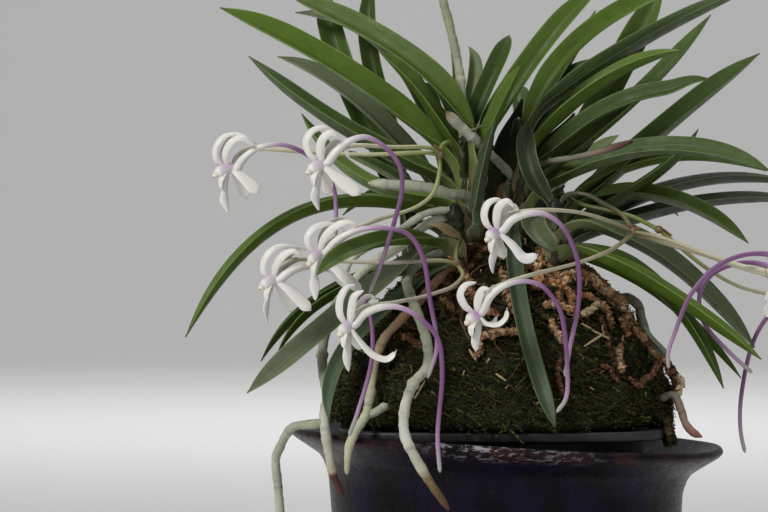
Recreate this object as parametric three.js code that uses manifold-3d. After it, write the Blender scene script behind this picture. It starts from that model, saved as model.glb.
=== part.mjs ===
// A wind orchid: a clump of leafy fans with ten long-spurred white blooms, growing on a mound of
// moss in a thin square-collared liner pot, which stands inside a glazed pot with a flared brim.
//
// Millimetres, +Z up, the front faces -Y. The origin is the centre of the glazed pot's flat
// underside. Angles are in degrees.

import * as THREE from 'three';
import { mergeVertices } from 'three/addons/utils/BufferGeometryUtils.js';
import Module from 'manifold-3d';

// ---------------------------------------------------------------- driving dimensions

const GAP = 0.3; // clearance between pieces that touch

const BRIM_RADIUS = 50;
const BRIM_HEIGHT = 89; // top of the lip over the pot's axis
const BRIM_SLANT = 3; // the hand-made brim dips towards +X
const LIP_THICKNESS = 2.3;
const THROAT_RADIUS = 37;
const THROAT_HEIGHT = 81;
const BODY_RADIUS = 40.7;
const FOOT_RADIUS = 35.6;
const FLOOR_HEIGHT = 6;

const POT_SEGMENTS = 28;

const LINER_SHIFT = -1.5; // the liner stands a little off the pot's axis, along X
const COLLAR_HALF_SIDE = 36.8;
const COLLAR_TOP = 91.4;
const COLLAR_HEIGHT = 2.2;
const COLLAR_SQUARENESS = 4.6; // exponent of the collar's rounded square
const LINER_RADIUS = 33.5;
const LINER_FOOT_RADIUS = 29;
const LINER_WALL = 1.6;
const LINER_HOLE = 5; // radius of its drain hole
const COLLAR_RIM = 2.6; // width of the collar's flat top
const LINER_SEGMENTS = 24;

const MOUND_CENTRE_X = -1;
const MOUND_RADIUS = 39;
const MOUND_TOP = 136;
const MOUND_POWER = 1.55; // between a cone (1) and a half ball (2)
const LUMP_DEPTH = 1.3;
const DRY_MOSS_RADIUS = 2.1;
const DRY_MOSS_STEPS = 10;

const STEM_RADIUS = 2.5;
const STEM_DEPTH = 7; // how far a stem stands in the moss
const LEAF_FOOT = 1.8; // a leaf starts this far from its stem's axis
const LEAF_THICKNESS = 0.8;
const LEAF_TIP = 1; // width of its blunt tip
const TAPER_START = 0.62; // share of a leaf's length where it starts to narrow
const LONG_LEAF = 26; // a leaf longer than this has four rows, and a shorter one three
const LEAF_CROWDING = 1.3; // above 1, a leaf's rows stand closer towards its tip
const TEPAL_THICKNESS = 0.62;
const ROOT_STEP = 8; // length of a root's straight steps
const BRANCH_SCALE = 0.9; // a root's branch is this much thinner
const SOCKET_PLAY = 0.4; // a socket is this much wider than its root or stalk
const SOCKET_DEPTH = 9; // how far along a root or stalk its socket is cut
const PEDICEL_RADIUS = 0.58;
const STALK_STEPS = 5;
const PEDICEL_STEP = 9;
const STALK_SCALE = 1.35; // a main stalk is this much thicker than its pedicels
const NODE_RADIUS = 1.3; // the knot where a stalk forks
const OVARY_LENGTH = 7;
const OVARY_RADIUS = 0.75;
const SPUR_RADIUS = 0.66;
const SPUR_MOUTH = 0.42; // how much wider a spur is at its mouth
const SPUR_STEPS = 9;
const SPUR_THROAT = 0.25; // share of a spur's length over which it narrows from its mouth
const COLUMN_RADIUS = 1.4;
const COLUMN_TAIL = 0.2; // how far the column reaches behind the centre, as a share of its nose
const LOBE_WIDTH = 2;
const TIP_SHARES = [0.3, 0.3, 0.3, 0.8, 0.8, 0.45]; // width left at the tip of each part of a head
const LOBE_TIP = 0.6;

const ROD_SIDES = 5; // of stems, roots, stalks, columns and the dry garland
const SLIM_SIDES = 4; // of pedicels, ovaries and spurs
const CURVE_FRAMES = 200; // places along a curve at which its cross directions are worked out

const COLOURS = {
  glaze: 0x0c0b10,
  plastic: 0x17181a,
  moss: 0x2b2c17,
  dryMoss: 0x8d5f3a,
  leaf: 0x2f4a1c,
  root: 0xa6ad98,
  stalk: 0x9aa05a,
  bloom: 0xf1edea,
};

// Each fan: where its stem leaves the moss, where the stem ends, and its leaves. A leaf is
// [height of its base on the stem, midpoint, tip, width, turn]; the turn is how far its face is
// rolled to the front.
const FANS = {
  fan_front_left: {
    foot: [-11, -14],
    top: [-12, -17, 142],
    leaves: [
      [134, [-39, -25, 114], [-58, -34, 100], 5.5, 45],
      [133, [-29, -36, 133], [-42, -55, 126], 5, 25],
      [130, [-35, -26, 111], [-40, -34, 94], 4.5, 45],
      [130, [-40, -8, 122], [-56, -6, 106], 4.5, 15],
      [129, [-38, -11, 122], [-52, -14, 108], 4, 8],
      [138, [-5, -20, 152], [-3, -22, 160], 4, 50],
    ],
  },
  fan_left: {
    foot: [-6, -5],
    top: [-10, -8, 156],
    leaves: [
      [138, [-46, -17, 140], [-72, -24, 112], 5, 5],
      [142, [-32, -2, 147], [-47, 6, 163], 5, 15],
      [145, [-37, -6, 159], [-59, 0, 176], 6, 20],
      [150, [-36, -12, 171], [-65, -14, 186], 6.5, 50],
      [146, [-2, -12, 163], [3, -14, 173], 5, 50],
      [150, [8, -7, 177], [22, -4, 192], 6, 50],
      [154, [-3, -4, 172], [1, 2, 181], 4.5, 25],
      [152, [-20, -13, 167], [-29, -16, 176], 5, 45],
      [154, [-15, 0, 168], [-23, 4, 175], 4, 20],
    ],
  },
  fan_back_left: {
    foot: [-12, 6],
    top: [-13, 5, 155],
    leaves: [
      [138, [-25, 9, 148], [-39, 14, 155], 4, 20],
      [142, [-34, 11, 166], [-53, 16, 177], 5.5, 30],
      [146, [-26, 14, 177], [-49, 24, 188], 5, 35],
      [150, [-23, 9, 178], [-45, 14, 193], 6, 40],
      [148, [-16, 12, 164], [-18, 20, 171], 4, 30],
      [152, [-11, 14, 169], [-12, 22, 178], 3.5, 30],
      [152, [-7, 8, 171], [-8, 12, 179], 3.5, 50],
    ],
  },
  fan_far_left: {
    foot: [-20, 14],
    top: [-23, 15, 150],
    leaves: [
      [144, [-38, 22, 175], [-43, 30, 196], 6, 50],
      [146, [-30, 22, 174], [-31, 30, 197], 4.5, 40],
      [138, [-29, 18, 155], [-31, 22, 166], 5, 50],
    ],
  },
  fan_back: {
    foot: [-2, 15],
    top: [-3, 16, 157],
    leaves: [
      [150, [15, 24, 174], [23, 30, 189], 4, 10],
      [147, [12, 22, 169], [24, 24, 177], 4.5, 25],
      [143, [9, 21, 162], [14, 26, 172], 4.5, 30],
    ],
  },
  fan_middle: {
    foot: [3, 2],
    top: [3, 0, 162],
    leaves: [
      [160, [32, 12, 180], [60, 22, 194], 6, 15],
      [157, [17, 3, 179], [41, 10, 193], 5.5, 40],
      [153, [22, -4, 170], [40, -6, 177], 6, 15],
      [142, [20, 10, 160], [38, 22, 195], 7, 45],
      [148, [28, -8, 168], [46, -12, 170], 5, 45],
      [145, [29, 3, 165], [48, 6, 186], 5, 30],
      [143, [32, -12, 154], [58, -22, 149], 6, 35],
      [142, [1.5, -28, 122], [9, -45, 93], 4.5, 0],
    ],
  },
  fan_right: {
    foot: [11, 7],
    top: [13, 8, 146],
    leaves: [
      [137, [35, 14, 157], [61, 20, 178], 7, 20],
      [143, [38, 12, 153], [62, 14, 150], 4.5, 20],
      [136, [34, 2, 148], [44, -4, 159], 4.5, 15],
      [134, [44, 18, 147], [72, 28, 147], 5, 15],
      [132, [44, 14, 142], [72, 20, 143], 5, 15],
      [141, [35, 4, 144], [56, 0, 133], 5.5, 25],
    ],
  },
  fan_front_right: {
    foot: [9, -12],
    top: [11, -14, 143],
    leaves: [
      [134, [32, -18, 124], [56, -24, 107], 5.5, 8],
      [139, [35, -8, 130], [57, -4, 109], 6.5, 40],
      [134, [33, -11, 124], [49, -12, 100], 5, 25],
      [132, [34, -5, 122], [54, -2, 102], 4, 10],
      [140, [5, -26, 137], [9, -38, 131], 5.5, 0],
      [140, [5, -8, 151], [5, -6, 161], 4.5, 40],
    ],
  },
  fan_rear: {
    foot: [6, 20],
    top: [7, 24, 146],
    leaves: [
      [136, [-8, 44, 158], [-20, 58, 165], 4.5, 0],
      [142, [6, 46, 166], [5, 62, 172], 5, 0],
      [140, [22, 42, 154], [30, 55, 160], 4.5, 0],
      [132, [27, 40, 146], [45, 50, 140], 5, 0],
      [132, [-18, 37, 147], [-38, 45, 140], 4.5, 0],
      [130, [6, 42, 138], [2, 56, 124], 4.5, 0],
    ],
  },
};

// Each aerial root: the fan it grows from (or none, where it comes out of the moss), its route,
// its radius, and any side branch.
const ROOTS = {
  root_upright: {
    from: 'fan_left',
    radius: 1.15,
    route: [
      [-10.5, -6.5, 154], [-9.8, -7, 160], [-10.2, -7.5, 166], [-10.5, -5, 171], [-11.5, -3, 177],
      [-13, -3, 183.5], [-14.5, -2, 190], [-14, 0, 196.5], [-14.5, 2, 203],
    ],
  },
  root_stub: {
    from: 'fan_left',
    radius: 1.2,
    route: [[-9.5, -9, 153.5], [-9, -12.5, 157], [-11, -14, 159.5], [-14, -16, 162.5]],
  },
  root_short: {
    from: 'fan_middle',
    radius: 1,
    route: [[2, 0, 148], [-1.5, -2, 151.5], [-4.5, -4.5, 154]],
  },
  root_level: {
    from: 'fan_left',
    radius: 1.2,
    route: [
      [-7.5, -7, 140], [-9, -12.5, 143.5], [-13, -15, 144], [-18.5, -16, 145.5],
      [-25.5, -15, 146], [-31.5, -12, 146.5],
    ],
  },
  root_long_left: {
    from: 'fan_front_left',
    radius: 1.1,
    route: [
      [-12, -14.5, 138.5], [-17.5, -17, 137.5], [-24.5, -20, 132], [-31, -20, 128],
      [-36, -20, 122.5], [-39.5, -19, 117.5], [-41.5, -21, 110], [-41.5, -25, 104.5],
      [-40.5, -28, 99.5], [-41, -32, 94], [-40, -34, 87], [-39, -34, 82], [-37, -34, 77.5],
    ],
    branch: [
      [-41, -32, 93.5], [-43.5, -32, 93], [-47.5, -30, 92.5], [-49.5, -27, 90.5],
      [-51, -24, 87.5], [-52, -22, 85], [-51.5, -20, 77.5], [-50.5, -19, 65.5],
      [-49.5, -19, 58.5],
    ],
  },
  root_thin: {
    from: 'fan_front_left',
    radius: 0.8,
    route: [
      [-12, -16, 140.5], [-18.5, -19, 139.5], [-27, -24, 134], [-33, -25, 131],
      [-35.5, -25, 128.5], [-36.5, -24, 125.5],
    ],
  },
  root_tan: {
    from: 'fan_front_left',
    radius: 1,
    route: [
      [-11.5, -15.5, 127.5], [-16, -20, 124.5], [-20, -23, 120], [-24, -25, 116], [-28, -26, 111.5],
      [-30, -26, 106], [-31, -31, 99], [-32, -36, 95], [-34, -38, 92], [-35.5, -39, 88.5],
      [-36, -39, 82.5],
    ],
    branch: [[-31.5, -35.5, 95], [-29.5, -35, 96], [-27, -33, 97.5]],
  },
  root_front: {
    from: 'fan_front_left',
    radius: 1.25,
    route: [
      [-12, -16.5, 129.5], [-20, -24, 127], [-22.5, -28, 123], [-21, -32, 118.5],
      [-18.5, -36, 111], [-18.5, -39, 106], [-21.5, -43, 102.5], [-23.5, -48, 97],
      [-23.5, -51, 92], [-22, -53, 88.5], [-18.5, -54, 82.5], [-14, -54, 76],
    ],
  },
  root_right: {
    from: null,
    radius: 1.1,
    route: [
      [22, 1, 117], [27.6, 0, 120.4], [30.6, -1, 118.6], [31.1, -2, 116], [32.3, -3, 112],
      [34.5, -4, 108], [36.2, -4, 104.5],
    ],
  },
  root_right_low: {
    from: null,
    radius: 0.9,
    route: [
      [33, -12, 97], [37.5, -13.5, 98.6], [39, -14.5, 95.5], [40, -15.5, 92.3], [41.5, -17, 90.4],
      [43.5, -18, 89.4],
    ],
  },
  root_dark: {
    from: 'fan_middle',
    radius: 0.8,
    route: [[4, 0, 149.5], [9.5, -4, 151.5], [16, -9, 152.5], [22.5, -12, 154], [28.5, -13, 156]],
  },
};

// Each flower stalk: the fan it grows from, its main stalk up to the node where it forks, and
// one pedicel for each bloom, which ends at that bloom's centre.
const STALKS = {
  stalk_a: {
    from: 'fan_left',
    main: [
      [-9.5, -8, 148.5], [-11.5, -14, 153.5], [-13.5, -18, 155.5], [-15, -20, 154.5],
      [-15.5, -21, 152.5],
    ],
    pedicels: {
      bloom_1: [
        [-15.5, -21, 152.5], [-18, -22, 153], [-31, -26, 152.5], [-45.5, -28, 153],
        [-54.5, -28.5, 153.6], [-58.2, -29, 153.2], [-60.4, -29.5, 151.6],
      ],
      bloom_2: [[-15.5, -21, 153], [-17.5, -23, 154], [-26.5, -31, 154], [-35, -37, 154], [-38, -39, 153]],
      bloom_3: [
        [-15.5, -21, 152], [-15.5, -22, 149], [-17, -24, 144], [-20.5, -27, 141],
        [-29, -34, 138], [-35.5, -39, 135.5], [-38.5, -42, 133.5],
      ],
    },
  },
  stalk_b: {
    from: 'fan_front_left',
    main: [[-10.5, -15.5, 133.5], [-11.5, -23, 132.5], [-12, -26, 130], [-12, -28, 128.5]],
    pedicels: {
      bloom_4: [
        [-12, -28, 128.5], [-15.5, -28.5, 129], [-27.5, -29, 128.5], [-40, -29, 129],
        [-45, -31.5, 129.3], [-48.3, -34, 128.8], [-50.3, -35.4, 127.3],
      ],
      bloom_5: [
        [-12, -28, 128.5], [-10.5, -29, 126], [-12.5, -31, 123.5], [-18, -35, 121.5],
        [-25.5, -43, 120], [-32, -49, 119], [-34.5, -51, 117],
      ],
    },
  },
  stalk_c: {
    from: 'fan_front_right',
    main: [
      [11, -13, 140], [13.5, -10, 143.8], [17.5, -10.5, 144], [22, -15, 141.5],
      [25.5, -20.5, 139], [27.5, -24, 135.5],
    ],
    pedicels: {
      bloom_6: [
        [27.5, -24, 135.5], [22.5, -27, 137.5], [15, -33, 139.5], [7, -39, 140],
        [1.5, -43, 139.5], [-1.5, -45, 138.5],
      ],
      bloom_7: [
        [27.5, -24, 135], [22.5, -28, 131.5], [14.5, -34, 128.5], [5, -41.5, 126.2],
        [-1.8, -45.5, 124.2], [-4.6, -47.3, 122.9], [-6.3, -48.3, 120.5],
      ],
      bloom_8: [
        [27.5, -24, 135.5], [33.5, -28, 134], [41.5, -31, 131], [50, -34, 128],
        [57.5, -37, 126.5],
      ],
      bloom_9: [[27.5, -24, 135], [34, -22, 133], [43, -19, 130.5], [52, -16, 127.5], [59, -14, 125.5]],
    },
  },
  stalk_d: {
    from: 'fan_right',
    main: [[12.5, 6.5, 145], [17, -1, 142], [22.5, -5, 140.5], [28.5, -8, 139], [34.5, -10, 136]],
    pedicels: {
      bloom_10: [
        [34.5, -10, 136], [40, -9, 131.5], [46, -7, 127], [53.5, -4, 123], [65.5, 0, 120],
        [72.5, 2, 117],
      ],
    },
  },
};

// Each bloom: its centre, where its column's nose ends, the parts of its head as
// [width, roll, route], and the route of its spur. Noses and head routes are measured from the
// centre. A roll of 0 shows a part's edge to the front, and 90 its face. The parts are the
// dorsal sepal, the near and the far petal, the near and the far lateral sepal, and the lip.
const BLOOMS = {
  bloom_1: {
    centre: [-61.8, -30, 149.4],
    nose: [-3.8, -1.6, -1.6],
    parts: [
      [1.8, 45, [
        [-1.3, -0.5, 0], [-3.2, -1, 1.8], [-3.3, -1, 4.4], [-1.5, -0.8, 6.9],
        [2.2, 0.2, 7.4], [5.8, 1.6, 5.4],
      ]],
      [2, 60, [[-0.6, -0.6, 0.2], [-1.1, -1.8, 2.9], [0.4, -2.6, 5.7], [2.6, -3, 6.6], [5.5, -2.8, 4.8]]],
      [2, -55, [[-0.8, 0.4, 0.4], [-1.8, 1.6, 3.4], [-0.6, 2.4, 6], [2, 3, 7], [4.4, 3.4, 6.4]]],
      [2.8, 70, [[0.2, -0.6, 0], [3, -1.8, -2.2], [6.4, -2.6, -5.5]]],
      [2.8, -60, [[0.2, 0.6, -0.2], [2.2, 2.2, -3.4], [3.4, 3.2, -6.6]]],
      [1.6, 60, [[-0.8, -0.4, -0.6], [-1, -0.8, -4], [-1.2, -1, -7.2], [-0.4, -1.2, -9.9]]],
    ],
    spur: [
      [-60.6, -30.2, 149], [-59, -31, 151.2], [-55.4, -31.5, 153.8], [-50.5, -31, 154.5],
      [-46, -30, 153], [-42, -30, 150], [-39, -30, 145], [-38.5, -30, 141], [-38.5, -30, 134.5],
    ],
  },
  bloom_2: {
    centre: [-41.4, -39, 149.8],
    nose: [-3.4, -1.7, -1.5],
    parts: [
      [2, 50, [
        [-1, -0.4, 0.2], [-3, -1, 2.6], [-3.6, -1.2, 5], [-2.2, -1, 7.4],
        [0.4, -0.4, 8.1], [3, 0.4, 6.2],
      ]],
      [2.2, 70, [[0, -0.6, 0.4], [-0.4, -1.8, 3.3], [0.2, -2.6, 5.6], [1.9, -3, 6.8], [3.4, -3, 6]]],
      [2, -50, [[0.4, 0.6, 0.6], [1.4, 1.8, 3.6], [3, 2.6, 5], [4.8, 3, 4.2], [5.9, 3, 1.6]]],
      [3, 75, [[0.2, -0.6, 0], [3.7, -2, -3], [8.3, -3.2, -6.5]]],
      [2.8, -60, [[0.2, 0.8, -0.4], [1.4, 2.6, -3.6], [1, 4, -6.4]]],
      [1.9, 70, [[-0.6, -0.3, -0.6], [-0.9, -0.8, -4], [-1.3, -1, -7], [-0.6, -1.2, -10]]],
    ],
    spur: [
      [-40.3, -39.2, 150.2], [-38.5, -39.8, 152.4], [-36, -40, 154.6], [-32, -40, 155.8],
      [-27.5, -39, 153.5], [-24.5, -40, 149.5], [-24, -40, 144.5], [-25.5, -40, 138],
      [-28.5, -40, 128.5], [-31, -40, 122],
    ],
  },
  bloom_3: {
    centre: [-41.7, -42, 130.6],
    nose: [-2.8, -1.6, -2.4],
    parts: [
      [2, 50, [
        [-0.9, -0.4, 0], [-2.6, -0.8, 1.6], [-2.9, -1, 3.6], [-1, -0.6, 5.8],
        [2.2, 0, 6.4], [5, 0.8, 5.5],
      ]],
      [2, 70, [[-0.2, -0.6, 0.2], [0.9, -1.6, 3.3], [3.4, -2.4, 5.8], [6.2, -2.8, 6.7], [8, -2.8, 6]]],
      [2, -55, [[0, 0.6, 0.4], [0.2, 1.8, 3.6], [2, 2.6, 6.2], [4.4, 3.4, 7.4], [6.6, 3.6, 7.2]]],
      [2.6, 70, [[0.4, -0.6, -0.2], [4.3, -2, -4.1], [8.9, -3.4, -8]]],
      [2.6, -60, [[0.4, 0.6, -0.4], [3.4, 2.4, -4.2], [6.4, 3.8, -7.6]]],
      [1.9, 70, [[-0.8, -0.4, -1], [-1.1, -0.8, -4], [-1.2, -1, -7], [-1, -1.2, -10.2]]],
    ],
    spur: [
      [-40.6, -42.3, 130.8], [-38, -43.2, 133.4], [-33.5, -44, 135.6], [-27.5, -45, 136],
      [-22.5, -45, 134.5], [-19.5, -45, 129.5], [-18, -45, 120.5], [-16.5, -44, 110.5],
      [-18.5, -43, 103.5],
    ],
  },
  bloom_4: {
    centre: [-51.7, -36, 124.8],
    nose: [-3.5, -1.6, -1.6],
    parts: [
      [2, 50, [
        [-1.1, -0.4, 0], [-2.6, -0.8, 1.8], [-2.4, -1, 4.4], [-0.4, -0.8, 6.8],
        [2.2, 0, 7.4], [4.8, 0.8, 7],
      ]],
      [2, 65, [[-0.4, -0.6, 0.3], [0.3, -1.6, 3.3], [2.2, -2.4, 5.6], [4.1, -2.8, 6.3], [5.9, -2.8, 5.4]]],
      [2, -55, [[0, 0.6, 0.4], [1.2, 1.8, 3.6], [3.2, 2.6, 5.8], [5.2, 3, 6.8], [6.8, 3, 6.6]]],
      [2.8, 70, [[0.2, -0.6, 0], [3.5, -1.8, -2.4], [7.8, -2.8, -6.6]]],
      [2.6, -60, [[0.2, 0.8, -0.4], [2, 2.6, -4.2], [3.4, 3.8, -7.2]]],
      [1.6, 60, [[-0.7, -0.4, -0.6], [-1.4, -0.8, -3.6], [-1.8, -1, -6.4], [-1.6, -1.2, -9.4]]],
    ],
    spur: [
      [-50.8, -36.4, 124.8], [-49.2, -36.8, 126], [-46.8, -36.4, 127.3], [-43.5, -35, 127.8],
      [-39.5, -33.5, 126.8], [-35, -33.5, 124], [-31.3, -36.5, 118.5], [-30.5, -41, 108],
      [-33.5, -42, 96.5], [-35.5, -42, 91],
    ],
  },
  bloom_5: {
    centre: [-35.4, -51, 115.1],
    nose: [-2.2, -1.8, -1.7],
    parts: [
      [2, 60, [[-0.7, -0.5, 0.2], [-2, -1, 2.6], [-1.9, -1, 5.8], [-0.5, -0.7, 8.2], [1.4, 0, 8.8]]],
      [2, 70, [[0.2, -0.6, 0.3], [0.5, -1.6, 3.6], [1.2, -2.2, 6.4], [3.2, -2.6, 7.6]]],
      [1.8, -45, [[0.4, 0.5, 0.4], [1.5, 1.6, 3.4], [3.2, 2.2, 6], [4.6, 2.4, 6.4], [6, 2.4, 5.4]]],
      [2.4, 40, [[0.4, -0.6, -0.2], [2.4, -1.6, -3], [5.4, -2.6, -6], [8, -3, -6.8], [10, -3.2, -5.4]]],
      [2.4, -50, [[0.2, 0.8, -0.4], [1.4, 2.2, -3.4], [3.4, 3.4, -4.8]]],
      [1.9, 75, [[-0.4, -0.3, -0.6], [-0.2, -0.6, -4], [-0.3, -0.8, -7], [0, -1, -9.7]]],
    ],
    spur: [
      [-34.3, -51, 115.3], [-32.3, -51, 117.5], [-28.8, -51, 119], [-24.5, -51, 119],
      [-20, -52, 116.5], [-16.5, -52, 112.5], [-15.5, -52, 105.5], [-16.5, -53, 91.5],
      [-16, -54, 84],
    ],
  },
  bloom_6: {
    centre: [-3.6, -45, 135.2],
    nose: [-2.5, -1.7, -1.6],
    parts: [
      [2, 55, [
        [-0.8, -0.5, 0.2], [-2.3, -1, 1.6], [-2.9, -1, 3.8], [-2, -0.8, 6.2],
        [0.2, -0.2, 7], [1.9, 0.4, 6],
      ]],
      [2, 70, [[0, -0.6, 0.3], [-0.2, -1.8, 3], [0.4, -2.6, 5.5], [2.2, -3, 6.6], [3.7, -3, 5.2]]],
      [2, -55, [[0.4, 0.6, 0.4], [1, 1.8, 3], [2.2, 2.6, 5], [3.8, 3, 5.6], [5, 3, 4]]],
      [2.4, 65, [[0.4, -0.6, 0], [3.2, -1.8, -2.6], [6, -2.8, -5.6], [8.6, -3.2, -5]]],
      [2.6, -60, [[0.2, 0.8, -0.4], [1, 2.4, -3.4], [1.6, 3.6, -5.8]]],
      [1.9, 70, [[-0.5, -0.3, -0.6], [-0.3, -0.7, -3.6], [-0.9, -0.9, -6.4], [-0.9, -1, -9]]],
    ],
    spur: [
      [-2.5, -45.2, 135.4], [-0.6, -45.8, 137.6], [2.7, -46, 139], [6.5, -46, 139],
      [9.8, -46, 137], [12, -46, 133.8], [13.8, -46, 128.5], [14, -46, 120.5],
      [12, -46, 110], [11, -46, 104],
    ],
  },
  bloom_7: {
    centre: [-7.8, -49, 117.4],
    nose: [-2.8, -1.7, -1.6],
    parts: [
      [2, 60, [[-0.9, -0.5, 0.2], [-3, -1, 2], [-3.9, -1.2, 4.4], [-2.8, -1, 6.4], [-0.3, -0.4, 7]]],
      [2, 70, [[-0.2, -0.6, 0.3], [0, -1.6, 3.4], [1, -2.2, 5.6], [2.4, -2.6, 5.6]]],
      [1.8, -55, [[0.2, 0.5, 0.4], [0.8, 1.6, 3], [2, 2.2, 4.8], [3.2, 2.4, 4.4]]],
      [1.8, 40, [
        [0.4, -0.6, -0.2], [2, -1.6, -1.8], [4.2, -2.2, -1.9], [5.7, -2.6, -0.6],
        [6.1, -2.8, 1.2],
      ]],
      [1.8, -40, [[0.2, 0.6, -0.4], [1.4, 2, -1.8], [3.2, 3, -1.8], [4.2, 3.4, -0.4]]],
      [1.8, 70, [[-0.4, -0.3, -0.6], [0.1, -0.7, -3], [-0.5, -0.9, -5.4], [-0.4, -1, -7.8]]],
    ],
    spur: [
      [-6.9, -49.3, 118.2], [-5.4, -50.3, 121.2], [-2.4, -51, 123.6], [1.6, -51, 124.6],
      [5.4, -51, 123.8], [8.2, -50.5, 121], [10, -50, 117.5], [11.3, -49, 106.5],
      [11, -49, 99.5], [9, -49, 96.5],
    ],
  },
  bloom_8: {
    centre: [63, -38, 126.5],
    mirrors: 'bloom_2',
    spur: [
      [62, -38, 126.9], [59.5, -38, 129.4], [55, -38, 130.5], [49.5, -38, 130],
      [43.5, -38, 127], [38.5, -38, 121], [35.5, -38, 113.5], [34, -38, 109],
      [34, -38, 105.5],
    ],
  },
  bloom_9: {
    centre: [65.5, -13, 123],
    mirrors: 'bloom_4',
    spur: [
      [64.5, -13, 123.4], [62, -13, 126.3], [58, -13, 128], [53, -13, 128.5],
      [46.5, -13, 126], [43.5, -13, 121.5], [44.5, -12, 115], [50.5, -12, 108],
      [55.5, -12, 103.5],
    ],
  },
  bloom_10: {
    centre: [77, 2, 115],
    mirrors: 'bloom_6',
    spur: [
      [76, 2, 115.4], [72.3, 2, 118.8], [67.5, 2, 120], [64.5, 2, 119], [60, 2, 115],
      [57, 2, 109], [54.5, 2, 96.5], [54.5, 2, 89.5], [55.5, 2, 84.5],
    ],
  },
};

// The dried garland over the mound's right shoulder, as places in plan; it lies in the moss.
const DRY_MOSS_PLAN = [
  [5, -21], [10.5, -19], [13.6, -15], [17, -11], [20, -10], [23, -7.5], [26, -6.5], [28.5, -8], [30, -10],
];

// ---------------------------------------------------------------- small helpers

const wasm = await Module();
wasm.setup();

const radians = THREE.MathUtils.degToRad;
const smooth = THREE.MathUtils.smoothstep;
const point = (values) => new THREE.Vector3(...values);
const AWAY = new THREE.Vector3(0, 1, 0);

// Merges a geometry's shared vertices and drops the faces that this flattens.
function tidy(geometry) {
  const bare = new THREE.BufferGeometry();
  bare.setAttribute('position', geometry.attributes.position.clone());
  bare.setIndex(geometry.index);
  const merged = mergeVertices(bare, 1e-3);
  const faces = [];
  const index = merged.index.array;
  for (let i = 0; i < index.length; i += 3) {
    const [a, b, c] = [index[i], index[i + 1], index[i + 2]];
    if (a !== b && b !== c && c !== a) {
      faces.push(a, b, c);
    }
  }
  merged.setIndex(faces);
  return merged;
}

function toSolid(geometry) {
  const merged = tidy(geometry);
  return new wasm.Manifold(new wasm.Mesh({
    numProp: 3,
    vertProperties: new Float32Array(merged.attributes.position.array),
    triVerts: new Uint32Array(merged.index.array),
  }));
}

function toGeometry(solid) {
  const mesh = solid.getMesh();
  const geometry = new THREE.BufferGeometry();
  geometry.setAttribute('position', new THREE.BufferAttribute(mesh.vertProperties, 3));
  geometry.setIndex(new THREE.BufferAttribute(mesh.triVerts, 1));
  return geometry;
}

function joined(geometries) {
  let whole = toSolid(geometries[0]);
  for (const geometry of geometries.slice(1)) {
    whole = whole.add(toSolid(geometry));
  }
  return toGeometry(whole);
}

function cut(geometry, tools) {
  let left = toSolid(geometry);
  for (const tool of tools) {
    left = left.subtract(toSolid(tool));
  }
  return toGeometry(left);
}

function moveVertices(geometry, place) {
  const position = geometry.attributes.position;
  for (let i = 0; i < position.count; i += 1) {
    const moved = place(new THREE.Vector3().fromBufferAttribute(position, i));
    position.setXYZ(i, moved.x, moved.y, moved.z);
  }
  return geometry;
}

// A round rod along a curve. radiusAt gives its radius at a share of the curve's length, and
// skipStart and skipEnd are the lengths left out at its two ends.
function rod(curve, radiusAt, sides, steps, skipStart = 0, skipEnd = 0) {
  const length = curve.getLength();
  const first = skipStart / length;
  const last = 1 - skipEnd / length;
  const frames = curve.computeFrenetFrames(CURVE_FRAMES, false);
  return moveVertices(new THREE.CylinderGeometry(1, 1, 1, sides, steps), (vertex) => {
    const share = THREE.MathUtils.lerp(first, last, vertex.y + 0.5);
    const frame = Math.round(share * CURVE_FRAMES);
    const radius = radiusAt(share);
    return curve.getPointAt(share)
      .addScaledVector(frames.binormals[frame], vertex.x * radius)
      .addScaledVector(frames.normals[frame], vertex.z * radius);
  });
}

function routeCurve(route) {
  return new THREE.CatmullRomCurve3(route.map(point));
}

// A thin closed slab with a top and an under skin that are split alike. place gives the place
// of a point from its share across (-1 to 1), its share along (0 to 1) and its skin (1 or -1).
function slab(columns, rows, place) {
  const sheet = new THREE.PlaneGeometry(2, 1, columns, rows);
  const flat = sheet.attributes.position;
  const positions = [];
  for (const skin of [1, -1]) {
    for (let i = 0; i < flat.count; i += 1) {
      positions.push(...place(flat.getX(i), flat.getY(i) + 0.5, skin).toArray());
    }
  }
  const faces = [];
  const top = sheet.index.array;
  for (let i = 0; i < top.length; i += 3) {
    faces.push(top[i], top[i + 1], top[i + 2]);
    faces.push(top[i] + flat.count, top[i + 2] + flat.count, top[i + 1] + flat.count);
  }
  const at = (row, column) => row * (columns + 1) + column;
  const rim = [];
  for (let column = 0; column < columns; column += 1) {
    rim.push(at(rows, column));
  }
  for (let row = rows; row > 0; row -= 1) {
    rim.push(at(row, columns));
  }
  for (let column = columns; column > 0; column -= 1) {
    rim.push(at(0, column));
  }
  for (let row = 0; row < rows; row += 1) {
    rim.push(at(row, 0));
  }
  rim.forEach((a, i) => {
    const b = rim[(i + 1) % rim.length];
    faces.push(b, a, a + flat.count, b, a + flat.count, b + flat.count);
  });
  const geometry = new THREE.BufferGeometry();
  geometry.setAttribute('position', new THREE.Float32BufferAttribute(positions, 3));
  geometry.setIndex(faces);
  return geometry;
}

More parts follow.
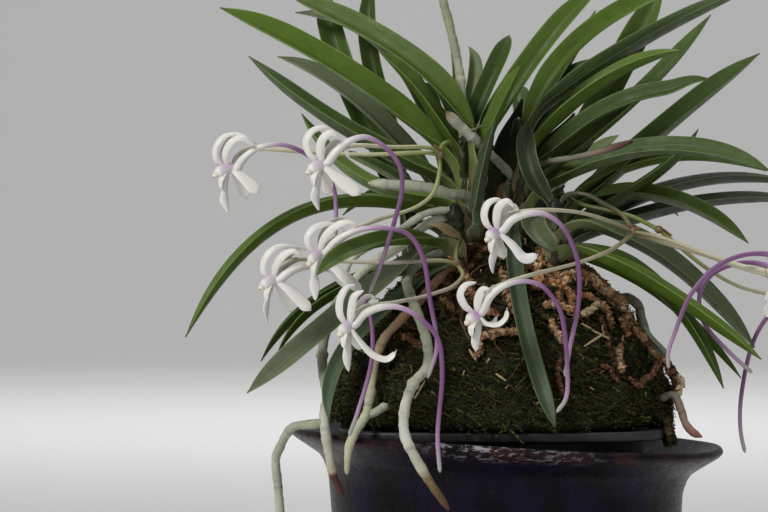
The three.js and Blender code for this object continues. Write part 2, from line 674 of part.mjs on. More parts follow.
// A blade along a curve: side is the direction across it before it is rolled about the curve,
// depth is its fold along the midrib, and crowding brings its rows closer towards the tip.
function blade(curve, side, roll, widthAt, depthAt, thickness, columns, rows, crowding = 1) {
  return slab(columns, rows, (across, along, skin) => {
    const share = 1 - (1 - along) ** crowding;
    const tangent = curve.getTangentAt(share);
    const acrossWay = side.clone().addScaledVector(tangent, -side.dot(tangent)).normalize();
    acrossWay.applyAxisAngle(tangent, roll);
    const upWay = new THREE.Vector3().crossVectors(acrossWay, tangent);
    const width = widthAt(share);
    const depth = depthAt(share);
    const skinLift = (thickness / 2) * Math.hypot(1, (2 * depth) / width);
    return curve.getPointAt(share)
      .addScaledVector(acrossWay, (across * width) / 2)
      .addScaledVector(upWay, (Math.abs(across) - 0.5) * depth + skin * skinLift);
  });
}

// ---------------------------------------------------------------- pots

// Turns a closed profile of [radius, height] points into a solid about the Z axis.
function turned(profile, segments) {
  const points = profile.map(([radius, height]) => new THREE.Vector2(radius, height));
  return tidy(new THREE.LatheGeometry(points, segments).rotateX(Math.PI / 2));
}

function glazedPot() {
  const lip = BRIM_HEIGHT - LIP_THICKNESS;
  const profile = [
    [0, 0],
    [FOOT_RADIUS - 2, 0],
    [FOOT_RADIUS, 2],
    [BODY_RADIUS, BRIM_HEIGHT - 11],
    [BODY_RADIUS + 1.6, BRIM_HEIGHT - 6.9],
    [BRIM_RADIUS - 4, lip - 2.1],
    [BRIM_RADIUS - 0.8, lip],
    [BRIM_RADIUS, lip + 1],
    [BRIM_RADIUS - 1, BRIM_HEIGHT],
    [BRIM_RADIUS - 4, BRIM_HEIGHT - 1.6],
    [BRIM_RADIUS - 8, BRIM_HEIGHT - 3.9],
    [THROAT_RADIUS + 1.6, THROAT_HEIGHT + 2.3],
    [THROAT_RADIUS, THROAT_HEIGHT],
    [FOOT_RADIUS - 4, FLOOR_HEIGHT + 3],
    [FOOT_RADIUS - 7, FLOOR_HEIGHT],
    [0, FLOOR_HEIGHT],
  ];
  const slant = Math.tan(radians(BRIM_SLANT));
  return moveVertices(turned(profile, POT_SEGMENTS), (vertex) => {
    vertex.z -= vertex.x * slant * smooth(vertex.z, 50, THROAT_HEIGHT);
    return vertex;
  });
}

// How far a rounded square of half side 1 reaches from its centre in a direction.
function roundedSquare(x, y) {
  const around = Math.hypot(x, y) || 1;
  const power = COLLAR_SQUARENESS;
  return (Math.abs(x / around) ** power + Math.abs(y / around) ** power) ** (-1 / power);
}

function linerPot() {
  const foot = FLOOR_HEIGHT + GAP;
  const collarFoot = COLLAR_TOP - COLLAR_HEIGHT;
  const inside = COLLAR_HALF_SIDE - COLLAR_RIM;
  const profile = [
    [LINER_HOLE, foot],
    [LINER_FOOT_RADIUS - 3, foot],
    [LINER_FOOT_RADIUS - 1, foot + 3],
    [LINER_RADIUS, collarFoot],
    [COLLAR_HALF_SIDE, collarFoot],
    [COLLAR_HALF_SIDE, COLLAR_TOP],
    [inside, COLLAR_TOP],
    [LINER_RADIUS - LINER_WALL, collarFoot - 1],
    [LINER_FOOT_RADIUS - 2 - LINER_WALL, foot + LINER_WALL],
    [LINER_HOLE, foot + LINER_WALL],
    [LINER_HOLE, foot],
  ];
  return moveVertices(turned(profile, LINER_SEGMENTS), (vertex) => {
    const square = roundedSquare(vertex.x, vertex.y);
    const share = Math.hypot(vertex.x, vertex.y) > LINER_RADIUS + 0.5 ? 1 : 0;
    const scale = THREE.MathUtils.lerp(1, square, share);
    return vertex.set(vertex.x * scale + LINER_SHIFT, vertex.y * scale, vertex.z);
  });
}

// ---------------------------------------------------------------- moss

const MOUND_FOOT = COLLAR_TOP + GAP;

// The mound's smooth height over a place in plan.
function moundHeight(x, y) {
  const share = Math.min(1, Math.hypot(x - MOUND_CENTRE_X, y) / MOUND_RADIUS);
  return MOUND_FOOT + (MOUND_TOP - MOUND_FOOT) * (1 - share ** MOUND_POWER) ** (1 / MOUND_POWER);
}

// Tufts and hollows of the moss, from -1 to 1.
function lumps(x, y, z) {
  const coarse = Math.sin(x * 0.23 + 1.3) * Math.cos(y * 0.27 + z * 0.21);
  const fine = Math.sin(x * 0.61 + z * 0.4) * Math.sin(y * 0.57 - z * 0.5 + 2.1);
  return 0.6 * coarse + 0.4 * fine;
}

function mossBody() {
  const rings = 7;
  const profile = [[0, MOUND_FOOT], [MOUND_RADIUS - 2, MOUND_FOOT]];
  for (let ring = 0; ring <= rings; ring += 1) {
    const angle = (ring / rings) * (Math.PI / 2);
    const out = Math.cos(angle) ** (2 / MOUND_POWER);
    const up = Math.sin(angle) ** (2 / MOUND_POWER);
    const rise = 1.2 + (MOUND_TOP - MOUND_FOOT - 1.2) * up;
    profile.push([ring === rings ? 0 : MOUND_RADIUS * out, MOUND_FOOT + rise]);
  }
  const dome = moveVertices(turned(profile, 26), (vertex) => {
    const rise = smooth(vertex.z, MOUND_FOOT, MOUND_FOOT + 8);
    const swell = LUMP_DEPTH * lumps(vertex.x, vertex.y, vertex.z) * rise;
    const around = Math.hypot(vertex.x, vertex.y) || 1;
    vertex.x += MOUND_CENTRE_X + (vertex.x / around) * swell;
    vertex.y += (vertex.y / around) * swell;
    vertex.z += 0.5 * swell;
    return vertex;
  });
  const top = LINER_RADIUS - LINER_WALL - 0.6;
  const bottom = LINER_FOOT_RADIUS - 2.5 - LINER_WALL;
  const foot = FLOOR_HEIGHT + LINER_WALL + 2 * GAP;
  const outline = [
    [0, foot],
    [bottom, foot],
    [top - 0.8, COLLAR_TOP - 6],
    [top, MOUND_FOOT + 1],
    [0, MOUND_FOOT + 1],
  ];
  const plug = turned(outline, 16).translate(LINER_SHIFT, 0, 0);
  return joined([dome, plug]);
}

const dryMossCurve = routeCurve(
  DRY_MOSS_PLAN.map(([x, y]) => [x, y, moundHeight(x, y) + 0.8]),
);

function dryMoss(extra = 0) {
  const lumpy = (share) => DRY_MOSS_RADIUS + 0.5 * Math.sin(share * 41) + 0.3 * Math.sin(share * 93);
  const rounding = (share) => Math.sqrt(Math.sin(Math.PI * THREE.MathUtils.clamp(share, 0, 1)));
  const radiusAt = (share) => lumpy(share) * (0.35 + 0.65 * rounding(share)) + extra;
  return rod(dryMossCurve, radiusAt, ROD_SIDES, DRY_MOSS_STEPS);
}

// ---------------------------------------------------------------- leafy fans

function stemFoot(fan) {
  const [x, y] = fan.foot;
  return new THREE.Vector3(x, y, moundHeight(x, y) - STEM_DEPTH);
}

function stem(fan, extra = 0) {
  const line = new THREE.LineCurve3(stemFoot(fan), point(fan.top));
  return rod(line, (share) => STEM_RADIUS * (1 - 0.25 * share) + extra, ROD_SIDES, 1);
}

// The point on a fan's stem at a height.
function onStem(fan, height) {
  const foot = stemFoot(fan);
  const top = point(fan.top);
  return foot.clone().lerp(top, (height - foot.z) / (top.z - foot.z));
}

// A strap leaf, folded along its midrib, that arches through its midpoint and keeps its width
// until it narrows to a blunt point.
function leaf(fan, [height, middle, tip, width, turn]) {
  const end = point(tip);
  const axis = onStem(fan, height);
  const base = axis.clone().lerp(end, LEAF_FOOT / axis.distanceTo(end));
  const pull = point(middle).multiplyScalar(2).sub(base.clone().add(end).multiplyScalar(0.5));
  const curve = new THREE.QuadraticBezierCurve3(base, pull, end);
  const heading = end.clone().sub(base).setZ(0);
  const side = new THREE.Vector3(heading.y, -heading.x, 0).normalize();
  const roll = radians(turn) * (heading.x < 0 ? -1 : 1);
  const widthAt = (share) => {
    const swell = 0.42 + 0.58 * smooth(share, 0, 0.32);
    const taper = Math.max(0, 1 - Math.max(0, (share - TAPER_START) / (1 - TAPER_START)) ** 2.2);
    return Math.max(LEAF_TIP, width * swell * taper);
  };
  const depthAt = (share) => widthAt(share) * (0.68 - 0.3 * share);
  const rows = end.distanceTo(base) > LONG_LEAF ? 4 : 3;
  return blade(curve, side, roll, widthAt, depthAt, LEAF_THICKNESS, 2, rows, LEAF_CROWDING);
}

// ---------------------------------------------------------------- roots

function rootShape(root) {
  const along = (route, scale) => {
    const curve = routeCurve(route);
    const steps = Math.round(curve.getLength() / ROOT_STEP) + 1;
    const radiusAt = (share) => root.radius * scale * (1 - 0.35 * smooth(share, 0.85, 1));
    return rod(curve, radiusAt, ROD_SIDES, steps);
  };
  const parts = [along(root.route, 1)];
  if (root.branch) {
    parts.push(along(root.branch, BRANCH_SCALE));
  }
  return joined(parts);
}

// The first stretch of a route, fattened by the gap: the socket that it leaves in a stem.
function socket(route, radius) {
  const curve = routeCurve(route);
  const start = curve.getPointAt(0).sub(curve.getTangentAt(0).multiplyScalar(GAP));
  const share = Math.min(1, SOCKET_DEPTH / curve.getLength());
  const end = curve.getPointAt(share);
  const middle = curve.getPointAt(share / 2);
  const stretch = new THREE.CatmullRomCurve3([start, middle, end]);
  return rod(stretch, () => radius + SOCKET_PLAY, ROD_SIDES, 2);
}

// ---------------------------------------------------------------- flower stalks

// A pedicel's curve, which ends at the back of its bloom's column.
function pedicelCurve(route, bloom) {
  const end = point(bloom.centre).addScaledVector(point(headOf(bloom).nose), -COLUMN_TAIL);
  return routeCurve([...route, end.toArray()]);
}

function stalkShape(stalk) {
  const main = routeCurve(stalk.main);
  const radiusAt = (share) => PEDICEL_RADIUS * (STALK_SCALE - 0.2 * share);
  const parts = [rod(main, radiusAt, ROD_SIDES, STALK_STEPS)];
  for (const [name, route] of Object.entries(stalk.pedicels)) {
    const curve = pedicelCurve(route, BLOOMS[name]);
    const steps = Math.round(curve.getLength() / PEDICEL_STEP);
    parts.push(rod(curve, () => PEDICEL_RADIUS, SLIM_SIDES, steps, 0, OVARY_LENGTH + GAP));
  }
  const node = new THREE.OctahedronGeometry(NODE_RADIUS, 0).translate(...stalk.main.at(-1));
  parts.push(node);
  return joined(parts);
}

// ---------------------------------------------------------------- blooms

// A bloom's nose and parts, or those of the bloom that it mirrors.
function headOf(bloom) {
  if (!bloom.mirrors) {
    return bloom;
  }
  const model = BLOOMS[bloom.mirrors];
  const flipped = ([x, y, z]) => [-x, y, z];
  const parts = model.parts.map(([width, roll, route]) => [width, -roll, route.map(flipped)]);
  return { nose: flipped(model.nose), parts };
}

// The lip's two side lobes, small flaps that hang from under the column.
function sideLobes(nose) {
  const [x, y, z] = nose;
  return [1, -1].map((side) => [LOBE_WIDTH, 60 * side, [
    [0.25 * x, 0.25 * y + 0.5 * side, 0.25 * z - 0.3],
    [0.45 * x, 0.45 * y + 1.3 * side, 0.45 * z - 2.6],
    [0.4 * x, 0.4 * y + 1.1 * side, 0.4 * z - 4.7],
  ]]);
}

// A sepal, petal, lip or lobe: narrow at its foot, widest past its middle, and with a share of
// its width left at its tip.
function tepal(bloom, [width, roll, route], tipShare) {
  const centre = point(bloom.centre);
  const curve = new THREE.CatmullRomCurve3(route.map((place) => point(place).add(centre)));
  const widthAt = (share) => {
    const swell = 0.55 + 0.45 * smooth(share, 0, 0.5);
    const narrowing = (1 - tipShare) * Math.max(0, (share - 0.55) / 0.45) ** 2;
    return width * swell * (1 - narrowing);
  };
  const rows = Math.round(route.length * 0.66);
  return blade(curve, AWAY, radians(roll), widthAt, () => 0, TEPAL_THICKNESS, 1, rows);
}

function column(bloom, nose) {
  const centre = point(bloom.centre);
  const back = centre.clone().addScaledVector(point(nose), -COLUMN_TAIL);
  const swell = (share) => COLUMN_RADIUS * (0.5 + 0.5 * Math.sin(Math.PI * (0.05 + share * 0.8)));
  return rod(new THREE.LineCurve3(back, centre.add(point(nose))), swell, ROD_SIDES, 3);
}

function spurShape(bloom) {
  const curve = routeCurve([bloom.centre, ...bloom.spur]);
  const radiusAt = (share) => SPUR_RADIUS + SPUR_MOUTH * (1 - smooth(share, 0, SPUR_THROAT));
  return rod(curve, radiusAt, SLIM_SIDES, SPUR_STEPS);
}

function bloomShape(bloom, route) {
  const { nose, parts } = headOf(bloom);
  const curve = pedicelCurve(route, bloom);
  const ovary = rod(curve, () => OVARY_RADIUS, SLIM_SIDES, 2, curve.getLength() - OVARY_LENGTH, 0);
  const tepals = parts.map((part, i) => tepal(bloom, part, TIP_SHARES[i]));
  const lobes = sideLobes(nose).map((part) => tepal(bloom, part, LOBE_TIP));
  return joined([column(bloom, nose), spurShape(bloom), ovary, ...tepals, ...lobes]);
}

// ---------------------------------------------------------------- assembly

const plant = new THREE.Group();

function addPiece(name, geometry, colour, roughness) {
  const material = new THREE.MeshStandardMaterial({ color: colour, roughness, metalness: 0 });
  const mesh = new THREE.Mesh(geometry, material);
  mesh.name = name;
  plant.add(mesh);
}

const growing = [...Object.values(ROOTS), ...Object.values(STALKS)];

addPiece('pot_glazed', glazedPot(), COLOURS.glaze, 0.2);
addPiece('pot_liner', linerPot(), COLOURS.plastic, 0.5);

const mossTools = Object.values(FANS).map((fan) => stem(fan, GAP));
mossTools.push(dryMoss(GAP));
for (const root of Object.values(ROOTS).filter((item) => item.from === null)) {
  mossTools.push(socket(root.route, root.radius));
}
addPiece('moss_mound', cut(mossBody(), mossTools), COLOURS.moss, 0.95);
addPiece('moss_dry', dryMoss(), COLOURS.dryMoss, 0.95);

for (const [name, fan] of Object.entries(FANS)) {
  const body = joined([stem(fan), ...fan.leaves.map((row) => leaf(fan, row))]);
  const sockets = growing.filter((item) => item.from === name)
    .map((item) => socket(item.route ?? item.main, item.radius ?? PEDICEL_RADIUS * STALK_SCALE));
  addPiece(name, cut(body, sockets), COLOURS.leaf, 0.45);
}

for (const [name, root] of Object.entries(ROOTS)) {
  addPiece(name, rootShape(root), COLOURS.root, 0.8);
}

for (const [name, stalk] of Object.entries(STALKS)) {
  addPiece(name, stalkShape(stalk), COLOURS.stalk, 0.5);
  for (const [bloomName, route] of Object.entries(stalk.pedicels)) {
    addPiece(bloomName, bloomShape(BLOOMS[bloomName], route), COLOURS.bloom, 0.5);
  }
}

export default plant;
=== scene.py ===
import math

import bpy
import numpy as np
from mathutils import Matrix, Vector, noise


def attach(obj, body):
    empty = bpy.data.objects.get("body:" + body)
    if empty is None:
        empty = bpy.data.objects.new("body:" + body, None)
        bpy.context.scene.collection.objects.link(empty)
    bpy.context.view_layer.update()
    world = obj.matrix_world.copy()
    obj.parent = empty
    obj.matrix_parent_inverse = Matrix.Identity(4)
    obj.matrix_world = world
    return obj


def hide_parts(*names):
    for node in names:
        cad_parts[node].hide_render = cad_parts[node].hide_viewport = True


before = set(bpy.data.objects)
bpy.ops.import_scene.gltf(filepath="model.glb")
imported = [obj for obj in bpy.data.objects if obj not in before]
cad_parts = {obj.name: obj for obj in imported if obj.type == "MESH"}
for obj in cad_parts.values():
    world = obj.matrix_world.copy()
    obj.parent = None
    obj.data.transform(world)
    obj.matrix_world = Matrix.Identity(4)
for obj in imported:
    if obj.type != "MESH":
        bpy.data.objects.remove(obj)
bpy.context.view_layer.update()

# A wind orchid on its mound of moss, in a square-collared liner inside a glazed pot. The tables
# are in millimetres, and MM turns them into metres when a mesh is made. FANS, ROOTS, STALKS,
# BLOOMS and DRY_MOSS_PLAN say what the CAD's say. Where the drawn form was fitted closer to the
# photograph than the CAD, LEAF_FITS, ROOT_GIRTHS and ROOT_TOPS say so.
MM = 0.001
rng = np.random.default_rng(11)
# noise_vector starts from the clock unless it is given a seed.
noise.seed_set(1795502864)

# Each fan: its stem's foot (across, depth) and top, and its leaves, each as the height where it
# leaves the stem, a point on its middle, its tip, its width and its roll in degrees.
FANS = {
  "fan_front_left": {
    "foot": [-11, -14], "top": [-12, -17, 142],
    "leaves": [
      [134, [-39, -25, 114], [-58, -34, 100], 5.5, 45], [133, [-29, -36, 133], [-42, -55, 126], 5, 25],
      [130, [-35, -26, 111], [-40, -34, 94], 4.5, 45], [130, [-40, -8, 122], [-56, -6, 106], 4.5, 15],
      [129, [-38, -11, 122], [-52, -14, 108], 4, 8], [138, [-5, -20, 152], [-3, -22, 160], 4, 50],
    ],
  },
  "fan_left": {
    "foot": [-6, -5], "top": [-10, -8, 156],
    "leaves": [
      [138, [-46, -17, 140], [-72, -24, 112], 5, 5], [142, [-32, -2, 147], [-47, 6, 163], 5, 15],
      [145, [-37, -6, 159], [-59, 0, 176], 6, 20], [150, [-36, -12, 171], [-65, -14, 186], 6.5, 50],
      [146, [-2, -12, 163], [3, -14, 173], 5, 50], [150, [8, -7, 177], [22, -4, 192], 6, 50],
      [154, [-3, -4, 172], [1, 2, 181], 4.5, 25], [152, [-20, -13, 167], [-29, -16, 176], 5, 45],
      [154, [-15, 0, 168], [-23, 4, 175], 4, 20],
    ],
  },
  "fan_back_left": {
    "foot": [-12, 6], "top": [-13, 5, 155],
    "leaves": [
      [138, [-25, 9, 148], [-39, 14, 155], 4, 20], [142, [-34, 11, 166], [-53, 16, 177], 5.5, 30],
      [146, [-26, 14, 177], [-49, 24, 188], 5, 35], [150, [-23, 9, 178], [-45, 14, 193], 6, 40],
      [148, [-16, 12, 164], [-18, 20, 171], 4, 30], [152, [-11, 14, 169], [-12, 22, 178], 3.5, 30],
      [152, [-7, 8, 171], [-8, 12, 179], 3.5, 50],
    ],
  },
  "fan_far_left": {
    "foot": [-20, 14], "top": [-23, 15, 150],
    "leaves": [
      [144, [-38, 22, 175], [-43, 30, 196], 6, 50], [146, [-30, 22, 174], [-31, 30, 197], 4.5, 40],
      [138, [-29, 18, 155], [-31, 22, 166], 5, 50],
    ],
  },
  "fan_back": {
    "foot": [-2, 15], "top": [-3, 16, 157],
    "leaves": [
      [150, [15, 24, 174], [23, 30, 189], 4, 10], [147, [12, 22, 169], [24, 24, 177], 4.5, 25],
      [143, [9, 21, 162], [14, 26, 172], 4.5, 30],
    ],
  },
  "fan_middle": {
    "foot": [3, 2], "top": [3, 0, 162],
    "leaves": [
      [160, [32, 12, 180], [60, 22, 194], 6, 15], [157, [17, 3, 179], [41, 10, 193], 5.5, 40],
      [153, [22, -4, 170], [40, -6, 177], 6, 15], [142, [20, 10, 160], [38, 22, 195], 7, 45],
      [148, [28, -8, 168], [46, -12, 170], 5, 45], [145, [29, 3, 165], [48, 6, 186], 5, 30],
      [143, [32, -12, 154], [58, -22, 149], 6, 35], [142, [1.5, -28, 122], [9, -45, 93], 4.5, 0],
    ],
  },
  "fan_right": {
    "foot": [11, 7], "top": [13, 8, 146],
    "leaves": [
      [137, [35, 14, 157], [61, 20, 178], 7, 20], [143, [38, 12, 153], [62, 14, 150], 4.5, 20],
      [136, [34, 2, 148], [44, -4, 159], 4.5, 15], [134, [44, 18, 147], [72, 28, 147], 5, 15],
      [132, [44, 14, 142], [72, 20, 143], 5, 15], [141, [35, 4, 144], [56, 0, 133], 5.5, 25],
    ],
  },
  "fan_front_right": {
    "foot": [9, -12], "top": [11, -14, 143],
    "leaves": [
      [134, [32, -18, 124], [56, -24, 107], 5.5, 8], [139, [35, -8, 130], [57, -4, 109], 6.5, 40],
      [134, [33, -11, 124], [49, -12, 100], 5, 25], [132, [34, -5, 122], [54, -2, 102], 4, 10],
      [140, [5, -26, 137], [9, -38, 131], 5.5, 0], [140, [5, -8, 151], [5, -6, 161], 4.5, 40],
    ],
  },
  "fan_rear": {
    "foot": [6, 20], "top": [7, 24, 146],
    "leaves": [
      [136, [-8, 44, 158], [-20, 58, 165], 4.5, 0], [142, [6, 46, 166], [5, 62, 172], 5, 0],
      [140, [22, 42, 154], [30, 55, 160], 4.5, 0], [132, [27, 40, 146], [45, 50, 140], 5, 0],
      [132, [-18, 37, 147], [-38, 45, 140], 4.5, 0], [130, [6, 42, 138], [2, 56, 124], 4.5, 0],
    ],
  },
}

# Each root: its radius, the points it runs through, and a branch if it forks.
ROOTS = {
  "root_upright": {
    "radius": 1.15,
    "route": [
      [-10.5, -6.5, 154], [-9.8, -7, 160], [-10.2, -7.5, 166], [-10.5, -5, 171], [-11.5, -3, 177],
      [-13, -3, 183.5], [-14.5, -2, 190], [-14, 0, 196.5], [-14.5, 2, 203],
    ],
  },
  "root_stub": {
    "radius": 1.2, "route": [[-9.5, -9, 153.5], [-9, -12.5, 157], [-11, -14, 159.5], [-14, -16, 162.5]],
  },
  "root_short": {"radius": 1, "route": [[2, 0, 148], [-1.5, -2, 151.5], [-4.5, -4.5, 154]]},
  "root_level": {
    "radius": 1.2,
    "route": [
      [-7.5, -7, 140], [-9, -12.5, 143.5], [-13, -15, 144], [-18.5, -16, 145.5], [-25.5, -15, 146],
      [-31.5, -12, 146.5],
    ],
  },
  "root_long_left": {
    "radius": 1.1,
    "route": [
      [-12, -14.5, 138.5], [-17.5, -17, 137.5], [-24.5, -20, 132], [-31, -20, 128], [-36, -20, 122.5],
      [-39.5, -19, 117.5], [-41.5, -21, 110], [-41.5, -25, 104.5], [-40.5, -28, 99.5], [-41, -32, 94],
      [-40, -34, 87], [-39, -34, 82], [-37, -34, 77.5],
    ],
    "branch": [
      [-41, -32, 93.5], [-43.5, -32, 93], [-47.5, -30, 92.5], [-49.5, -27, 90.5], [-51, -24, 87.5],
      [-52, -22, 85], [-51.5, -20, 77.5], [-50.5, -19, 65.5], [-49.5, -19, 58.5],
    ],
  },
  "root_thin": {
    "radius": 0.8,
    "route": [
      [-12, -16, 140.5], [-18.5, -19, 139.5], [-27, -24, 134], [-33, -25, 131], [-35.5, -25, 128.5],
      [-36.5, -24, 125.5],
    ],
  },
  "root_tan": {
    "radius": 1,
    "route": [
      [-11.5, -15.5, 127.5], [-16, -20, 124.5], [-20, -23, 120], [-24, -25, 116], [-28, -26, 111.5],
      [-30, -26, 106], [-31, -31, 99], [-32, -36, 95], [-34, -38, 92], [-35.5, -39, 88.5], [-36, -39, 82.5],
    ],
    "branch": [[-31.5, -35.5, 95], [-29.5, -35, 96], [-27, -33, 97.5]],
  },
  "root_front": {
    "radius": 1.25,
    "route": [
      [-12, -16.5, 129.5], [-20, -24, 127], [-22.5, -28, 123], [-21, -32, 118.5], [-18.5, -36, 111],
      [-18.5, -39, 106], [-21.5, -43, 102.5], [-23.5, -48, 97], [-23.5, -51, 92], [-22, -53, 88.5],
      [-18.5, -54, 82.5], [-14, -54, 76],
    ],
  },
  "root_right": {
    "radius": 1.1,
    "route": [
      [22, 1, 117], [27.6, 0, 120.4], [30.6, -1, 118.6], [31.1, -2, 116], [32.3, -3, 112], [34.5, -4, 108],
      [36.2, -4, 104.5],
    ],
  },
  "root_right_low": {
    "radius": 0.9,
    "route": [
      [33, -12, 97], [37.5, -13.5, 98.6], [39, -14.5, 95.5], [40, -15.5, 92.3], [41.5, -17, 90.4],
      [43.5, -18, 89.4],
    ],
  },
  "root_dark": {
    "radius": 0.8,
    "route": [[4, 0, 149.5], [9.5, -4, 151.5], [16, -9, 152.5], [22.5, -12, 154], [28.5, -13, 156]],
  },
}

# Each stalk: its main stem, and the pedicel that leads from it to each bloom.
STALKS = {
  "stalk_a": {
    "main": [
      [-9.5, -8, 148.5], [-11.5, -14, 153.5], [-13.5, -18, 155.5], [-15, -20, 154.5], [-15.5, -21, 152.5],
    ],
    "pedicels": {
      "bloom_1": [
        [-15.5, -21, 152.5], [-18, -22, 153], [-31, -26, 152.5], [-45.5, -28, 153], [-54.5, -28.5, 153.6],
        [-58.2, -29, 153.2], [-60.4, -29.5, 151.6],
      ],
      "bloom_2": [[-15.5, -21, 153], [-17.5, -23, 154], [-26.5, -31, 154], [-35, -37, 154], [-38, -39, 153]],
      "bloom_3": [
        [-15.5, -21, 152], [-15.5, -22, 149], [-17, -24, 144], [-20.5, -27, 141], [-29, -34, 138],
        [-35.5, -39, 135.5], [-38.5, -42, 133.5],
      ],
    },
  },
  "stalk_b": {
    "main": [[-10.5, -15.5, 133.5], [-11.5, -23, 132.5], [-12, -26, 130], [-12, -28, 128.5]],
    "pedicels": {
      "bloom_4": [
        [-12, -28, 128.5], [-15.5, -28.5, 129], [-27.5, -29, 128.5], [-40, -29, 129], [-45, -31.5, 129.3],
        [-48.3, -34, 128.8], [-50.3, -35.4, 127.3],
      ],
      "bloom_5": [
        [-12, -28, 128.5], [-10.5, -29, 126], [-12.5, -31, 123.5], [-18, -35, 121.5], [-25.5, -43, 120],
        [-32, -49, 119], [-34.5, -51, 117],
      ],
    },
  },
  "stalk_c": {
    "main": [
      [11, -13, 140], [13.5, -10, 143.8], [17.5, -10.5, 144], [22, -15, 141.5], [25.5, -20.5, 139],
      [27.5, -24, 135.5],
    ],
    "pedicels": {
      "bloom_6": [
        [27.5, -24, 135.5], [22.5, -27, 137.5], [15, -33, 139.5], [7, -39, 140], [1.5, -43, 139.5],
        [-1.5, -45, 138.5],
      ],
      "bloom_7": [
        [27.5, -24, 135], [22.5, -28, 131.5], [14.5, -34, 128.5], [5, -41.5, 126.2], [-1.8, -45.5, 124.2],
        [-4.6, -47.3, 122.9], [-6.3, -48.3, 120.5],
      ],
      "bloom_8": [[27.5, -24, 135.5], [33.5, -28, 134], [41.5, -31, 131], [50, -34, 128], [57.5, -37, 126.5]],
      "bloom_9": [[27.5, -24, 135], [34, -22, 133], [43, -19, 130.5], [52, -16, 127.5], [59, -14, 125.5]],
    },
  },
  "stalk_d": {
    "main": [[12.5, 6.5, 145], [17, -1, 142], [22.5, -5, 140.5], [28.5, -8, 139], [34.5, -10, 136]],
    "pedicels": {
      "bloom_10": [
        [34.5, -10, 136], [40, -9, 131.5], [46, -7, 127], [53.5, -4, 123], [65.5, 0, 120], [72.5, 2, 117],
      ],
    },
  },
}

